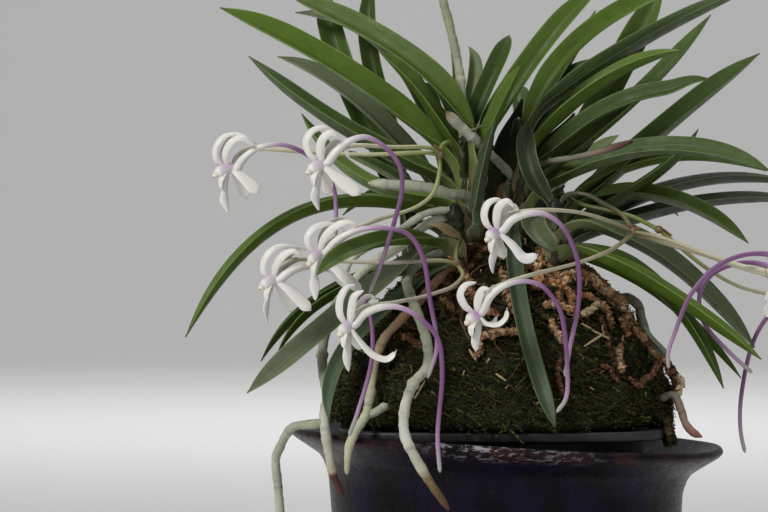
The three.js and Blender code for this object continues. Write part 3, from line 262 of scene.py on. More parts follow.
# Each bloom: its centre, the way its column points, its parts and its spur. The parts are three
# upper tepals, two lower sepals and the lip, each as width, roll in degrees and route from the
# centre. The blooms past the picture's edge mirror the head of another.
BLOOMS = {
  "bloom_1": {
    "centre": [-61.8, -30, 149.4], "nose": [-3.8, -1.6, -1.6],
    "parts": [
      [1.8, 45, [[-1.3, -0.5, 0], [-3.2, -1, 1.8], [-3.3, -1, 4.4], [-1.5, -0.8, 6.9], [2.2, 0.2, 7.4],
        [5.8, 1.6, 5.4]]],
      [2, 60, [[-0.6, -0.6, 0.2], [-1.1, -1.8, 2.9], [0.4, -2.6, 5.7], [2.6, -3, 6.6], [5.5, -2.8, 4.8]]],
      [2, -55, [[-0.8, 0.4, 0.4], [-1.8, 1.6, 3.4], [-0.6, 2.4, 6], [2, 3, 7], [4.4, 3.4, 6.4]]],
      [2.8, 70, [[0.2, -0.6, 0], [3, -1.8, -2.2], [6.4, -2.6, -5.5]]],
      [2.8, -60, [[0.2, 0.6, -0.2], [2.2, 2.2, -3.4], [3.4, 3.2, -6.6]]],
      [1.6, 60, [[-0.8, -0.4, -0.6], [-1, -0.8, -4], [-1.2, -1, -7.2], [-0.4, -1.2, -9.9]]],
    ],
    "spur": [
      [-60.6, -30.2, 149], [-59, -31, 151.2], [-55.4, -31.5, 153.8], [-50.5, -31, 154.5], [-46, -30, 153],
      [-42, -30, 150], [-39, -30, 145], [-38.5, -30, 141], [-38.5, -30, 134.5],
    ],
  },
  "bloom_2": {
    "centre": [-41.4, -39, 149.8], "nose": [-3.4, -1.7, -1.5],
    "parts": [
      [2, 50, [[-1, -0.4, 0.2], [-3, -1, 2.6], [-3.6, -1.2, 5], [-2.2, -1, 7.4], [0.4, -0.4, 8.1],
        [3, 0.4, 6.2]]],
      [2.2, 70, [[0, -0.6, 0.4], [-0.4, -1.8, 3.3], [0.2, -2.6, 5.6], [1.9, -3, 6.8], [3.4, -3, 6]]],
      [2, -50, [[0.4, 0.6, 0.6], [1.4, 1.8, 3.6], [3, 2.6, 5], [4.8, 3, 4.2], [5.9, 3, 1.6]]],
      [3, 75, [[0.2, -0.6, 0], [3.7, -2, -3], [8.3, -3.2, -6.5]]],
      [2.8, -60, [[0.2, 0.8, -0.4], [1.4, 2.6, -3.6], [1, 4, -6.4]]],
      [1.9, 70, [[-0.6, -0.3, -0.6], [-0.9, -0.8, -4], [-1.3, -1, -7], [-0.6, -1.2, -10]]],
    ],
    "spur": [
      [-40.3, -39.2, 150.2], [-38.5, -39.8, 152.4], [-36, -40, 154.6], [-32, -40, 155.8], [-27.5, -39, 153.5],
      [-24.5, -40, 149.5], [-24, -40, 144.5], [-25.5, -40, 138], [-28.5, -40, 128.5], [-31, -40, 122],
    ],
  },
  "bloom_3": {
    "centre": [-41.7, -42, 130.6], "nose": [-2.8, -1.6, -2.4],
    "parts": [
      [2, 50, [[-0.9, -0.4, 0], [-2.6, -0.8, 1.6], [-2.9, -1, 3.6], [-1, -0.6, 5.8], [2.2, 0, 6.4],
        [5, 0.8, 5.5]]],
      [2, 70, [[-0.2, -0.6, 0.2], [0.9, -1.6, 3.3], [3.4, -2.4, 5.8], [6.2, -2.8, 6.7], [8, -2.8, 6]]],
      [2, -55, [[0, 0.6, 0.4], [0.2, 1.8, 3.6], [2, 2.6, 6.2], [4.4, 3.4, 7.4], [6.6, 3.6, 7.2]]],
      [2.6, 70, [[0.4, -0.6, -0.2], [4.3, -2, -4.1], [8.9, -3.4, -8]]],
      [2.6, -60, [[0.4, 0.6, -0.4], [3.4, 2.4, -4.2], [6.4, 3.8, -7.6]]],
      [1.9, 70, [[-0.8, -0.4, -1], [-1.1, -0.8, -4], [-1.2, -1, -7], [-1, -1.2, -10.2]]],
    ],
    "spur": [
      [-40.6, -42.3, 130.8], [-38, -43.2, 133.4], [-33.5, -44, 135.6], [-27.5, -45, 136], [-22.5, -45, 134.5],
      [-19.5, -45, 129.5], [-18, -45, 120.5], [-16.5, -44, 110.5], [-18.5, -43, 103.5],
    ],
  },
  "bloom_4": {
    "centre": [-51.7, -36, 124.8], "nose": [-3.5, -1.6, -1.6],
    "parts": [
      [2, 50, [[-1.1, -0.4, 0], [-2.6, -0.8, 1.8], [-2.4, -1, 4.4], [-0.4, -0.8, 6.8], [2.2, 0, 7.4],
        [4.8, 0.8, 7]]],
      [2, 65, [[-0.4, -0.6, 0.3], [0.3, -1.6, 3.3], [2.2, -2.4, 5.6], [4.1, -2.8, 6.3], [5.9, -2.8, 5.4]]],
      [2, -55, [[0, 0.6, 0.4], [1.2, 1.8, 3.6], [3.2, 2.6, 5.8], [5.2, 3, 6.8], [6.8, 3, 6.6]]],
      [2.8, 70, [[0.2, -0.6, 0], [3.5, -1.8, -2.4], [7.8, -2.8, -6.6]]],
      [2.6, -60, [[0.2, 0.8, -0.4], [2, 2.6, -4.2], [3.4, 3.8, -7.2]]],
      [1.6, 60, [[-0.7, -0.4, -0.6], [-1.4, -0.8, -3.6], [-1.8, -1, -6.4], [-1.6, -1.2, -9.4]]],
    ],
    "spur": [
      [-50.8, -36.4, 124.8], [-49.2, -36.8, 126], [-46.8, -36.4, 127.3], [-43.5, -35, 127.8],
      [-39.5, -33.5, 126.8], [-35, -33.5, 124], [-31.3, -36.5, 118.5], [-30.5, -41, 108], [-33.5, -42, 96.5],
      [-35.5, -42, 91],
    ],
  },
  "bloom_5": {
    "centre": [-35.4, -51, 115.1], "nose": [-2.2, -1.8, -1.7],
    "parts": [
      [2, 60, [[-0.7, -0.5, 0.2], [-2, -1, 2.6], [-1.9, -1, 5.8], [-0.5, -0.7, 8.2], [1.4, 0, 8.8]]],
      [2, 70, [[0.2, -0.6, 0.3], [0.5, -1.6, 3.6], [1.2, -2.2, 6.4], [3.2, -2.6, 7.6]]],
      [1.8, -45, [[0.4, 0.5, 0.4], [1.5, 1.6, 3.4], [3.2, 2.2, 6], [4.6, 2.4, 6.4], [6, 2.4, 5.4]]],
      [2.4, 40, [[0.4, -0.6, -0.2], [2.4, -1.6, -3], [5.4, -2.6, -6], [8, -3, -6.8], [10, -3.2, -5.4]]],
      [2.4, -50, [[0.2, 0.8, -0.4], [1.4, 2.2, -3.4], [3.4, 3.4, -4.8]]],
      [1.9, 75, [[-0.4, -0.3, -0.6], [-0.2, -0.6, -4], [-0.3, -0.8, -7], [0, -1, -9.7]]],
    ],
    "spur": [
      [-34.3, -51, 115.3], [-32.3, -51, 117.5], [-28.8, -51, 119], [-24.5, -51, 119], [-20, -52, 116.5],
      [-16.5, -52, 112.5], [-15.5, -52, 105.5], [-16.5, -53, 91.5], [-16, -54, 84],
    ],
  },
  "bloom_6": {
    "centre": [-3.6, -45, 135.2], "nose": [-2.5, -1.7, -1.6],
    "parts": [
      [2, 55, [[-0.8, -0.5, 0.2], [-2.3, -1, 1.6], [-2.9, -1, 3.8], [-2, -0.8, 6.2], [0.2, -0.2, 7],
        [1.9, 0.4, 6]]],
      [2, 70, [[0, -0.6, 0.3], [-0.2, -1.8, 3], [0.4, -2.6, 5.5], [2.2, -3, 6.6], [3.7, -3, 5.2]]],
      [2, -55, [[0.4, 0.6, 0.4], [1, 1.8, 3], [2.2, 2.6, 5], [3.8, 3, 5.6], [5, 3, 4]]],
      [2.4, 65, [[0.4, -0.6, 0], [3.2, -1.8, -2.6], [6, -2.8, -5.6], [8.6, -3.2, -5]]],
      [2.6, -60, [[0.2, 0.8, -0.4], [1, 2.4, -3.4], [1.6, 3.6, -5.8]]],
      [1.9, 70, [[-0.5, -0.3, -0.6], [-0.3, -0.7, -3.6], [-0.9, -0.9, -6.4], [-0.9, -1, -9]]],
    ],
    "spur": [
      [-2.5, -45.2, 135.4], [-0.6, -45.8, 137.6], [2.7, -46, 139], [6.5, -46, 139], [9.8, -46, 137],
      [12, -46, 133.8], [13.8, -46, 128.5], [14, -46, 120.5], [12, -46, 110], [11, -46, 104],
    ],
  },
  "bloom_7": {
    "centre": [-7.8, -49, 117.4], "nose": [-2.8, -1.7, -1.6],
    "parts": [
      [2, 60, [[-0.9, -0.5, 0.2], [-3, -1, 2], [-3.9, -1.2, 4.4], [-2.8, -1, 6.4], [-0.3, -0.4, 7]]],
      [2, 70, [[-0.2, -0.6, 0.3], [0, -1.6, 3.4], [1, -2.2, 5.6], [2.4, -2.6, 5.6]]],
      [1.8, -55, [[0.2, 0.5, 0.4], [0.8, 1.6, 3], [2, 2.2, 4.8], [3.2, 2.4, 4.4]]],
      [1.8, 40, [[0.4, -0.6, -0.2], [2, -1.6, -1.8], [4.2, -2.2, -1.9], [5.7, -2.6, -0.6], [6.1, -2.8, 1.2]]],
      [1.8, -40, [[0.2, 0.6, -0.4], [1.4, 2, -1.8], [3.2, 3, -1.8], [4.2, 3.4, -0.4]]],
      [1.8, 70, [[-0.4, -0.3, -0.6], [0.1, -0.7, -3], [-0.5, -0.9, -5.4], [-0.4, -1, -7.8]]],
    ],
    "spur": [
      [-6.9, -49.3, 118.2], [-5.4, -50.3, 121.2], [-2.4, -51, 123.6], [1.6, -51, 124.6], [5.4, -51, 123.8],
      [8.2, -50.5, 121], [10, -50, 117.5], [11.3, -49, 106.5], [11, -49, 99.5], [9, -49, 96.5],
    ],
  },
  "bloom_8": {
    "centre": [63, -38, 126.5], "mirrors": "bloom_2",
    "spur": [
      [62, -38, 126.9], [59.5, -38, 129.4], [55, -38, 130.5], [49.5, -38, 130], [43.5, -38, 127],
      [38.5, -38, 121], [35.5, -38, 113.5], [34, -38, 109], [34, -38, 105.5],
    ],
  },
  "bloom_9": {
    "centre": [65.5, -13, 123], "mirrors": "bloom_4",
    "spur": [
      [64.5, -13, 123.4], [62, -13, 126.3], [58, -13, 128], [53, -13, 128.5], [46.5, -13, 126],
      [43.5, -13, 121.5], [44.5, -12, 115], [50.5, -12, 108], [55.5, -12, 103.5],
    ],
  },
  "bloom_10": {
    "centre": [77, 2, 115], "mirrors": "bloom_6",
    "spur": [
      [76, 2, 115.4], [72.3, 2, 118.8], [67.5, 2, 120], [64.5, 2, 119], [60, 2, 115], [57, 2, 109],
      [54.5, 2, 96.5], [54.5, 2, 89.5], [55.5, 2, 84.5],
    ],
  },
}

# The line of the dry garland over the mound, seen from above.
DRY_MOSS_PLAN = [
    [5, -21], [10.5, -19], [13.6, -15], [17, -11], [20, -10], [23, -7.5], [26, -6.5], [28.5, -8], [30, -10],
]


# ---------------------------------------------------------------- curves and meshes

def unit(v):
    v = np.asarray(v, float)
    return v / np.maximum(np.linalg.norm(v, axis=-1, keepdims=True), 1e-12)


def smooth(x, low, high):
    t = np.clip((np.asarray(x, float) - low) / (high - low), 0, 1)
    return t * t * (3 - 2 * t)


def even(line, count):
    """A polyline as count points, evenly spaced along it."""
    line = np.asarray(line, float)
    reach = np.r_[0, np.cumsum(np.linalg.norm(np.diff(line, axis=0), axis=1))]
    at = np.linspace(0, reach[-1], count)
    return np.stack([np.interp(at, reach, line[:, k]) for k in range(3)], 1)


def around(count):
    """Turns evenly spaced round a circle."""
    return np.linspace(0, 2 * math.pi, count, endpoint=False)


def length_of(line):
    return float(np.linalg.norm(np.diff(line, axis=0), axis=1).sum())


def through(route, count):
    """A smooth centripetal curve through the route's points."""
    p = np.array(route, float)
    p = np.vstack([2 * p[0] - p[1], p, 2 * p[-1] - p[-2]])
    parts = []
    for a, b, c, d in zip(p, p[1:], p[2:], p[3:]):
        u, v, w = (math.sqrt(max(np.linalg.norm(f - e), 1e-4)) for e, f in ((a, b), (b, c), (c, d)))
        start = ((b - a) / u - (c - a) / (u + v) + (c - b) / v) * v
        stop = ((c - b) / v - (d - b) / (v + w) + (d - c) / w) * v
        t = np.linspace(0, 1, 20, endpoint=False)[:, None]
        parts.append(b + start * t + (3 * (c - b) - 2 * start - stop) * t**2
                     + (2 * (b - c) + start + stop) * t**3)
    return even(np.vstack(parts + [p[-2:-1]]), count)


def headings(line):
    return unit(np.gradient(line, axis=0))


def carried(line):
    """Directions across a line that turn with it and don't twist."""
    ahead = headings(line)
    first = np.cross(ahead[0], [0, 0, 1] if abs(ahead[0][2]) < 0.9 else [1, 0, 0])
    ways = [unit(first)]
    for way in ahead[1:]:
        ways.append(unit(ways[-1] - way * (ways[-1] @ way)))
    ways = np.array(ways)
    return ways, np.cross(ahead, ways)


def ramp(at, stops):
    """Colours at places along a list of (place, colour)."""
    places = [place for place, _ in stops]
    colours = np.array([colour for _, colour in stops], float)
    return np.stack([np.interp(at, places, colours[:, k]) for k in range(3)], -1)


class Shape:
    """A mesh being made: points in millimetres, faces, and values for its material."""

    def __init__(self):
        self.points, self.faces, self.values, self.count = [], [], [], 0

    def add(self, points, faces, paint, across=0.0, along=0.0):
        """Points and faces, the points' colours, and where they lie across and along a blade."""
        points = np.asarray(points, float).reshape(-1, 3)
        held = np.empty((len(points), 5))
        held[:, :3] = np.asarray(paint, float).reshape(-1, 3)
        held[:, 3] = np.asarray(across, float).reshape(-1)
        held[:, 4] = np.asarray(along, float).reshape(-1)
        self.points.append(points)
        self.values.append(held)
        self.faces += [(np.asarray(some, int) + self.count).tolist() for some in faces if len(some)]
        self.count += len(points)

    def build(self, name, material, slot, *nodes, flat=False):
        """The finished piece, in place of the nodes of the CAD that it draws."""
        mesh = bpy.data.meshes.new(name)
        faces = [face for some in self.faces for face in some]
        mesh.from_pydata((np.vstack(self.points) * MM).tolist(), [], faces)
        held = np.vstack(self.values)
        paint = mesh.attributes.new("paint", "FLOAT_COLOR", "POINT")
        paint.data.foreach_set("color", np.c_[held[:, :3], np.ones(len(held))].astype("f").ravel())
        for k, key in ((3, "across"), (4, "along")):
            layer = mesh.attributes.new(key, "FLOAT", "POINT")
            layer.data.foreach_set("value", held[:, k].astype("f"))
        if not flat:
            mesh.shade_smooth()
        mesh.materials.append(material)
        piece = bpy.data.objects.new(name, mesh)
        bpy.context.scene.collection.objects.link(piece)
        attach(piece, "root")
        if nodes:
            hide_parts(*nodes)


def skin(rings):
    """Points and faces of a closed surface through rings of points, with a point at each end."""
    rows, sides, _ = rings.shape
    index = np.arange(rows * sides).reshape(rows, sides)
    turn = np.roll(index, -1, axis=1)
    walls = np.stack([index[:-1], turn[:-1], turn[1:], index[1:]], -1).reshape(-1, 4)
    start, stop = rows * sides, rows * sides + 1
    low = np.stack([np.full(sides, start), turn[0], index[0]], -1)
    high = np.stack([np.full(sides, stop), index[-1], turn[-1]], -1)
    ends = np.stack([rings[0].mean(0), rings[-1].mean(0)])
    return np.vstack([rings.reshape(-1, 3), ends]), [walls, low, high]


def spread(values, rows, sides):
    """Values for each ring, or each place round a ring, as one for each point of a skin."""
    values = np.asarray(values, float)
    if values.ndim and values.shape[0] == rows and values.shape[:2] != (rows, sides):
        values = values[:, None]
    wide = np.broadcast_to(values, (rows, sides) + values.shape[2:])
    wide = wide.reshape((rows * sides,) + values.shape[2:])
    return np.concatenate([wide, wide[:1], wide[-1:]])


def tube(shape, line, radii, sides, paint, rough=None):
    """A round rod. radii is one for each point of the line; rough adds lumps, (rows, sides)."""
    rows = len(line)
    one, other = carried(line)
    angle = around(sides)
    reach = np.broadcast_to(np.asarray(radii, float).reshape(-1, 1), (rows, sides)).copy()
    if rough is not None:
        reach = reach * (1 + rough)
    out = np.cos(angle)[None, :, None] * one[:, None] + np.sin(angle)[None, :, None] * other[:, None]
    points, faces = skin(line[:, None] + out * reach[..., None])
    paint = np.asarray(paint, float)
    paint = spread(paint, rows, sides) if paint.ndim > 1 else paint
    shape.add(points, faces, paint, 0.0, spread(np.linspace(0, 1, rows)[:, None], rows, sides))


def strap(shape, line, side, roll, width, depth, thick, paint, columns=11, keel=0.15, along=None):
    """A blade along a line, folded along its middle by depth, with rounded edges."""
    rows = len(line)
    ahead = headings(line)
    way = unit(side - ahead * (ahead @ side)[:, None])
    roll = np.broadcast_to(np.asarray(roll, float), (rows,))[:, None]
    way = way * np.cos(roll) + np.cross(ahead, way) * np.sin(roll)
    up = np.cross(way, ahead)
    a = -np.cos(np.linspace(0, math.pi, columns))
    a = np.r_[a, a[-2:0:-1]]
    skin_side = np.r_[np.ones(columns), -np.ones(columns - 2)]
    fold = np.sqrt(a**2 + keel**2) - 0.5
    body = skin_side * np.sqrt(np.maximum(0, 1 - np.abs(a) ** 3)) / 2
    width, depth, thick = (np.broadcast_to(np.asarray(v, float), (rows,)) for v in (width, depth, thick))
    rise = depth[:, None] * fold + thick[:, None] * body
    rings = line[:, None] + way[:, None] * (width[:, None] / 2 * a)[..., None] + up[:, None] * rise[..., None]
    points, faces = skin(rings)
    paint = np.asarray(paint, float)
    paint = spread(paint, rows, len(a)) if paint.ndim > 1 else paint
    along = np.linspace(0, 1, rows) if along is None else along
    shape.add(points, faces, paint, spread(np.broadcast_to(a, (rows, len(a))), rows, len(a)),
              spread(np.asarray(along)[:, None], rows, len(a)))


def blob(shape, centre, axes, paint, rows=9, sides=14):
    """A rounded lump: axes are its three half axes, the first along its length."""
    along, one, other = (np.asarray(axis, float) for axis in axes)
    turn = np.linspace(0.12, math.pi - 0.12, rows)
    angle = around(sides)
    ring = np.cos(angle)[:, None] * one + np.sin(angle)[:, None] * other
    rings = np.asarray(centre) - np.cos(turn)[:, None, None] * along + np.sin(turn)[:, None, None] * ring
    points, faces = skin(rings)
    shape.add(points, faces, paint, 0.0, 0.5)


# ---------------------------------------------------------------- materials

class Finish:
    """A material with one Principled shader, and short ways to add nodes to it."""

    def __init__(self, name, **values):
        self.material = bpy.data.materials.new(name)
        self.material.use_nodes = True
        self.tree = self.material.node_tree
        self.shader = self.tree.nodes["Principled BSDF"]
        for key, value in values.items():
            self.shader.inputs[key.replace("_", " ")].default_value = value

    def node(self, kind, inputs=(), **settings):
        made = self.tree.nodes.new("ShaderNode" + kind)
        for key, value in settings.items():
            setattr(made, key, value)
        for key, value in dict(inputs).items():
            if isinstance(value, bpy.types.NodeSocket):
                self.tree.links.new(value, made.inputs[key])
            else:
                made.inputs[key].default_value = value
        return made

    def place(self, stretch=(1, 1, 1)):
        """Object coordinates in millimetres, stretched."""
        where = self.node("TexCoord").outputs["Object"]
        scale = tuple(1000 * s for s in stretch)
        return self.node("Mapping", {"Vector": where, "Scale": scale}).outputs[0]

    def value(self, name):
        return self.node("Attribute", attribute_name=name).outputs["Fac"]

    def paint(self):
        return self.node("Attribute", attribute_name="paint").outputs["Color"]

    def noise(self, scale, detail=3.0, vector=None, rough=0.5):
        vector = self.place() if vector is None else vector
        return self.node("TexNoise", {"Vector": vector, "Scale": scale, "Detail": detail,
                                      "Roughness": rough}).outputs["Fac"]

    def ridges(self, across, along, detail=2.0):
        """Streaks that run along a blade, from the mesh's across and along values."""
        vector = self.node("CombineXYZ", {
            "X": self.math("MULTIPLY", self.value("across"), across),
            "Y": self.math("MULTIPLY", self.value("along"), along),
            "Z": self.math("MULTIPLY", self.noise(0.02, 0), 9.0),
        }).outputs[0]
        return self.noise(1.0, detail, vector)

    def math(self, operation, a, b=0.0):
        return self.node("Math", {0: a, 1: b}, operation=operation).outputs[0]

    def remap(self, value, low, high, to_low=0.0, to_high=1.0):
        return self.node("MapRange", {"Value": value, "From Min": low, "From Max": high,
                                      "To Min": to_low, "To Max": to_high}).outputs[0]

    def mix(self, share, a, b, blend="MIX"):
        made = self.node("Mix", data_type="RGBA", blend_type=blend)
        for key, value in ((0, share), (6, a), (7, b)):
            if isinstance(value, bpy.types.NodeSocket):
                self.tree.links.new(value, made.inputs[key])
            else:
                made.inputs[key].default_value = value if key == 0 else (*value, 1)
        return made.outputs[2]

    def tint(self, colour, value, low, high, share, tone, blend="MULTIPLY"):
        """The colour with tone blended in, from none where the value is low to share where it is high."""
        return self.mix(self.remap(value, low, high, 0.0, share), colour, tone, blend)

    def set(self, key, socket):
        self.tree.links.new(socket, self.shader.inputs[key])

    def bump(self, height, distance, strength=1.0):
        """Relief of that depth in millimetres."""
        made = self.node("Bump", {"Height": height, "Distance": distance * MM, "Strength": strength})
        self.set("Normal", made.outputs[0])


def leaf_finish():
    f = Finish("leaf", Specular_IOR_Level=0.22)
    veins = f.ridges(11, 1.2)
    fine = f.ridges(34, 2.5, 1)
    mottle = f.noise(0.35, 4)
    colour = f.tint(f.paint(), veins, 0.3, 0.7, 0.55, (0.75, 0.8, 0.55))
    colour = f.tint(colour, fine, 0.45, 0.75, 0.09, (0.32, 0.42, 0.18), "MIX")
    colour = f.tint(colour, mottle, 0.35, 0.75, 0.5, (0.55, 0.62, 0.5))
    # Painted shade and highlight across the blade: a dark line along the midrib is painted shade in the
    # fold's crease, and the paler edges are painted highlight.
    aside = f.math("ABSOLUTE", f.value("across"))
    colour = f.mix(f.remap(aside, 0.0, 0.09, 0.55, 0.0), colour, (0.3, 0.42, 0.2), "MULTIPLY")
    colour = f.tint(colour, aside, 0.92, 1.0, 0.4, (0.3, 0.38, 0.16), "MIX")
    colour = f.tint(colour, f.noise(2.6, 1), 0.69, 0.74, 0.2, (0.42, 0.46, 0.34), "MIX")
    f.set("Base Color", colour)
    f.set("Roughness", f.remap(mottle, 0.3, 0.7, 0.36, 0.55))
    f.bump(f.math("ADD", f.math("MULTIPLY", veins, 0.7), f.math("MULTIPLY", fine, 0.35)), 0.12)
    return f.material


def petal_finish():
    f = Finish("petal", Subsurface_Weight=0.35, Subsurface_Scale=0.6 * MM, Coat_Weight=0.1,
               Coat_Roughness=0.35, Specular_IOR_Level=0.4)
    f.shader.inputs["Subsurface Radius"].default_value = (1.0, 0.75, 0.65)
    veins = f.ridges(9, 1.0)
    grain = f.noise(5.0, 2)
    colour = f.tint(f.paint(), veins, 0.35, 0.7, 0.35, (0.78, 0.77, 0.76))
    f.set("Base Color", f.tint(colour, grain, 0.4, 0.8, 0.1, (0.8, 0.8, 0.82)))
    f.set("Roughness", f.remap(grain, 0.3, 0.7, 0.36, 0.52))
    f.bump(f.math("ADD", veins, f.math("MULTIPLY", grain, 0.25)), 0.06)
    return f.material


def stalk_finish():
    f = Finish("stalk", Coat_Weight=0.05, Coat_Roughness=0.4)
    streaks = f.noise(0.5, 3)
    grain = f.noise(3.5, 2)
    colour = f.tint(f.paint(), streaks, 0.35, 0.7, 0.35, (0.7, 0.66, 0.5))
    f.set("Base Color", f.tint(colour, grain, 0.62, 0.7, 0.3, (0.45, 0.3, 0.2)))
    f.set("Roughness", f.remap(grain, 0.3, 0.7, 0.38, 0.55))
    f.bump(grain, 0.05)
    return f.material


def root_finish():
    f = Finish("aerial_root", Specular_IOR_Level=0.35)
    patches = f.noise(0.28, 5, rough=0.6)
    grain = f.noise(2.4, 4, f.place((1, 1, 0.55)), 0.65)
    colour = f.tint(f.paint(), patches, 0.35, 0.7, 0.65, (0.72, 0.74, 0.6))
    colour = f.tint(colour, grain, 0.5, 0.75, 0.4, (0.6, 0.56, 0.46))
    colour = f.tint(colour, f.noise(0.9, 3), 0.64, 0.72, 0.45, (0.3, 0.3, 0.2), "MIX")
    f.set("Base Color", colour)
    f.set("Roughness", f.remap(grain, 0.3, 0.7, 0.62, 0.9))
    f.bump(f.math("ADD", grain, f.math("MULTIPLY", patches, 0.6)), 0.22)
    return f.material


def moss_like(name, roughness, scales, clumped, grained, relief):
    """Brown clumps and a fine grain over the painted tone."""
    f = Finish(name, Roughness=roughness, Specular_IOR_Level=0.25)
    clumps, grain = f.noise(scales[0], 4), f.noise(scales[1], 3)
    colour = f.tint(f.paint(), clumps, 0.35, *clumped)
    f.set("Base Color", f.tint(colour, grain, 0.35, 0.7, *grained))
    f.bump(grain, relief)
    return f.material


def moss_finish():
    clumped, grained = (0.68, 0.75, (0.6, 0.46, 0.34)), (0.5, (0.55, 0.55, 0.5))
    return moss_like("moss", 0.9, (0.16, 2.2), clumped, grained, 0.25)


def dry_moss_finish():
    clumped, grained = (0.7, 0.6, (0.62, 0.5, 0.4)), (0.45, (0.6, 0.5, 0.42))
    return moss_like("dry_moss", 0.88, (0.3, 2.8), clumped, grained, 0.2)


def glaze_finish():
    f = Finish("glaze", Specular_IOR_Level=0.07)
    runs = f.noise(0.13, 6, f.place((1, 1, 0.35)), 0.62)
    fine = f.noise(1.6, 5, f.place((0.45, 0.45, 1)), 0.7)
    lip = f.value("along")
    colour = f.mix(f.remap(runs, 0.42, 0.62), (0.0025, 0.0025, 0.0035), (0.006, 0.004, 0.016))
    rust = f.math("MULTIPLY", lip, f.remap(runs, 0.44, 0.58, 0.05, 0.8))
    colour = f.mix(rust, colour, (0.026, 0.008, 0.004))
    # Painted highlight: pale crackles of reflected light on the lip's front, where the across value holds the
    # mask of glints.
    glint_crackle = f.remap(f.noise(0.75, 6, f.place((0.6, 0.6, 1.6)), 0.72), 0.52, 0.57)
    colour = f.mix(f.math("MULTIPLY", f.value("across"), glint_crackle), colour, (0.24, 0.24, 0.27))
    f.set("Base Color", f.tint(colour, f.noise(3.2, 1), 0.72, 0.76, 0.5, (0.1, 0.075, 0.05), "MIX"))
    f.set("Roughness", f.remap(fine, 0.35, 0.7, 0.20, 0.46))
    deep = f.math("MULTIPLY", fine, f.remap(lip, 0.0, 1.0, 0.35, 1.0))
    f.bump(f.math("ADD", deep, f.math("MULTIPLY", runs, 1.2)), 0.35)
    return f.material


def plastic_finish():
    f = Finish("liner_plastic", Specular_IOR_Level=0.5)
    grain = f.noise(6.0, 2)
    scuffs = f.noise(0.9, 6, f.place((1, 1, 0.12)), 0.7)
    colour = f.tint((0.010, 0.010, 0.011), scuffs, 0.5, 0.75, 0.6, (0.03, 0.03, 0.033), "MIX")
    dust = f.math("MULTIPLY", f.remap(f.noise(1.8, 4), 0.56, 0.7, 0.0, 0.5), f.value("along"))
    f.set("Base Color", f.mix(dust, colour, (0.09, 0.075, 0.055)))
    f.set("Roughness", f.remap(scuffs, 0.3, 0.7, 0.34, 0.55))
    f.bump(f.math("ADD", grain, scuffs), 0.05)
    return f.material


# ---------------------------------------------------------------- stage

def aimed(obj, place, target):
    obj.location = place
    obj.rotation_mode = "QUATERNION"
    obj.rotation_quaternion = (Vector(target) - Vector(place)).to_track_quat("-Z", "Y")
    bpy.context.scene.collection.objects.link(obj)


def soft_light(name, place, size, power, colour=(1, 1, 1), target=(0, 0, 0.12)):
    lamp = bpy.data.lights.new(name, "AREA")
    lamp.shape, lamp.size, lamp.energy, lamp.color = "DISK", size, power, colour
    aimed(bpy.data.objects.new(name, lamp), place, target)


# The floor's flat radius, the radius of the curve up into the wall and the wall's top, in metres.
FLOOR_REACH, WALL_CURVE, WALL_TOP = 3.0, 1.5, 3.2
# The camera's place in metres, and its focal length and the photograph's width in pixels.
CAMERA_PLACE, FOCAL_PIXELS, PHOTO_PIXELS = (-0.0279, -0.691, 0.130), 3000, 768


def studio_floor():
    """A pale floor that curves up into a wall all round."""
    turn = np.linspace(0, math.pi / 2, 13)
    profile = [(0.02, 0.0), (0.5, 0.0), (1.5, 0.0), (FLOOR_REACH, 0.0)]
    for t in turn[1:]:
        profile.append((FLOOR_REACH + WALL_CURVE * math.sin(t), WALL_CURVE - WALL_CURVE * math.cos(t)))
    profile += [(FLOOR_REACH + WALL_CURVE, WALL_TOP)]
    angle = around(96)
    rings = np.array([[(r * math.cos(a), r * math.sin(a), z) for a in angle] for r, z in profile])
    points = rings.reshape(-1, 3).tolist()
    index = np.arange(len(points)).reshape(len(profile), -1)
    turned = np.roll(index, -1, axis=1)
    faces = np.stack([index[:-1], index[1:], turned[1:], turned[:-1]], -1).reshape(-1, 4)
    mesh = bpy.data.meshes.new("studio_floor")
    mesh.from_pydata(points, [], faces.tolist() + [index[0].tolist()])
    mesh.shade_smooth()
    f = Finish("floor", Roughness=0.75, Specular_IOR_Level=0.2)
    away = f.node("VectorMath", {0: f.place()}, operation="LENGTH").outputs["Value"]
    f.set("Base Color", f.mix(f.remap(away, 800, 2400), (0.84, 0.837, 0.83), (0.62, 0.617, 0.61)))
    mesh.materials.append(f.material)
    floor = bpy.data.objects.new("studio_floor", mesh)
    bpy.context.scene.collection.objects.link(floor)


def studio():
    """The floor, soft lights and the camera."""
    studio_floor()
    soft_light("key", (-0.75, -0.75, 0.85), 0.45, 13, (1.0, 0.985, 0.96))
    soft_light("fill", (0.9, -0.9, 0.45), 0.8, 2.2, (0.95, 0.97, 1.0))
    soft_light("above", (0.15, 0.35, 1.1), 0.7, 5.5)
    soft_light("wall", (0.0, 1.3, 1.7), 1.8, 44, target=(0, 4.3, 0.8))
    world = bpy.data.worlds.new("studio_air")
    world.use_nodes = True
    air = world.node_tree.nodes["Background"].inputs
    air["Color"].default_value, air["Strength"].default_value = (0.95, 0.97, 1.0, 1), 0.25
    bpy.context.scene.world = world
    bpy.context.scene.view_settings.view_transform = "Standard"

    lens = bpy.data.cameras.new("camera")
    lens.sensor_width = 36
    lens.lens = lens.sensor_width * FOCAL_PIXELS / PHOTO_PIXELS
    lens.clip_start = 0.02
    camera = bpy.data.objects.new("camera", lens)
    camera.location = CAMERA_PLACE
    camera.rotation_euler = (math.pi / 2, 0, 0)
    bpy.context.scene.collection.objects.link(camera)
    bpy.context.scene.camera = camera


# ---------------------------------------------------------------- pots

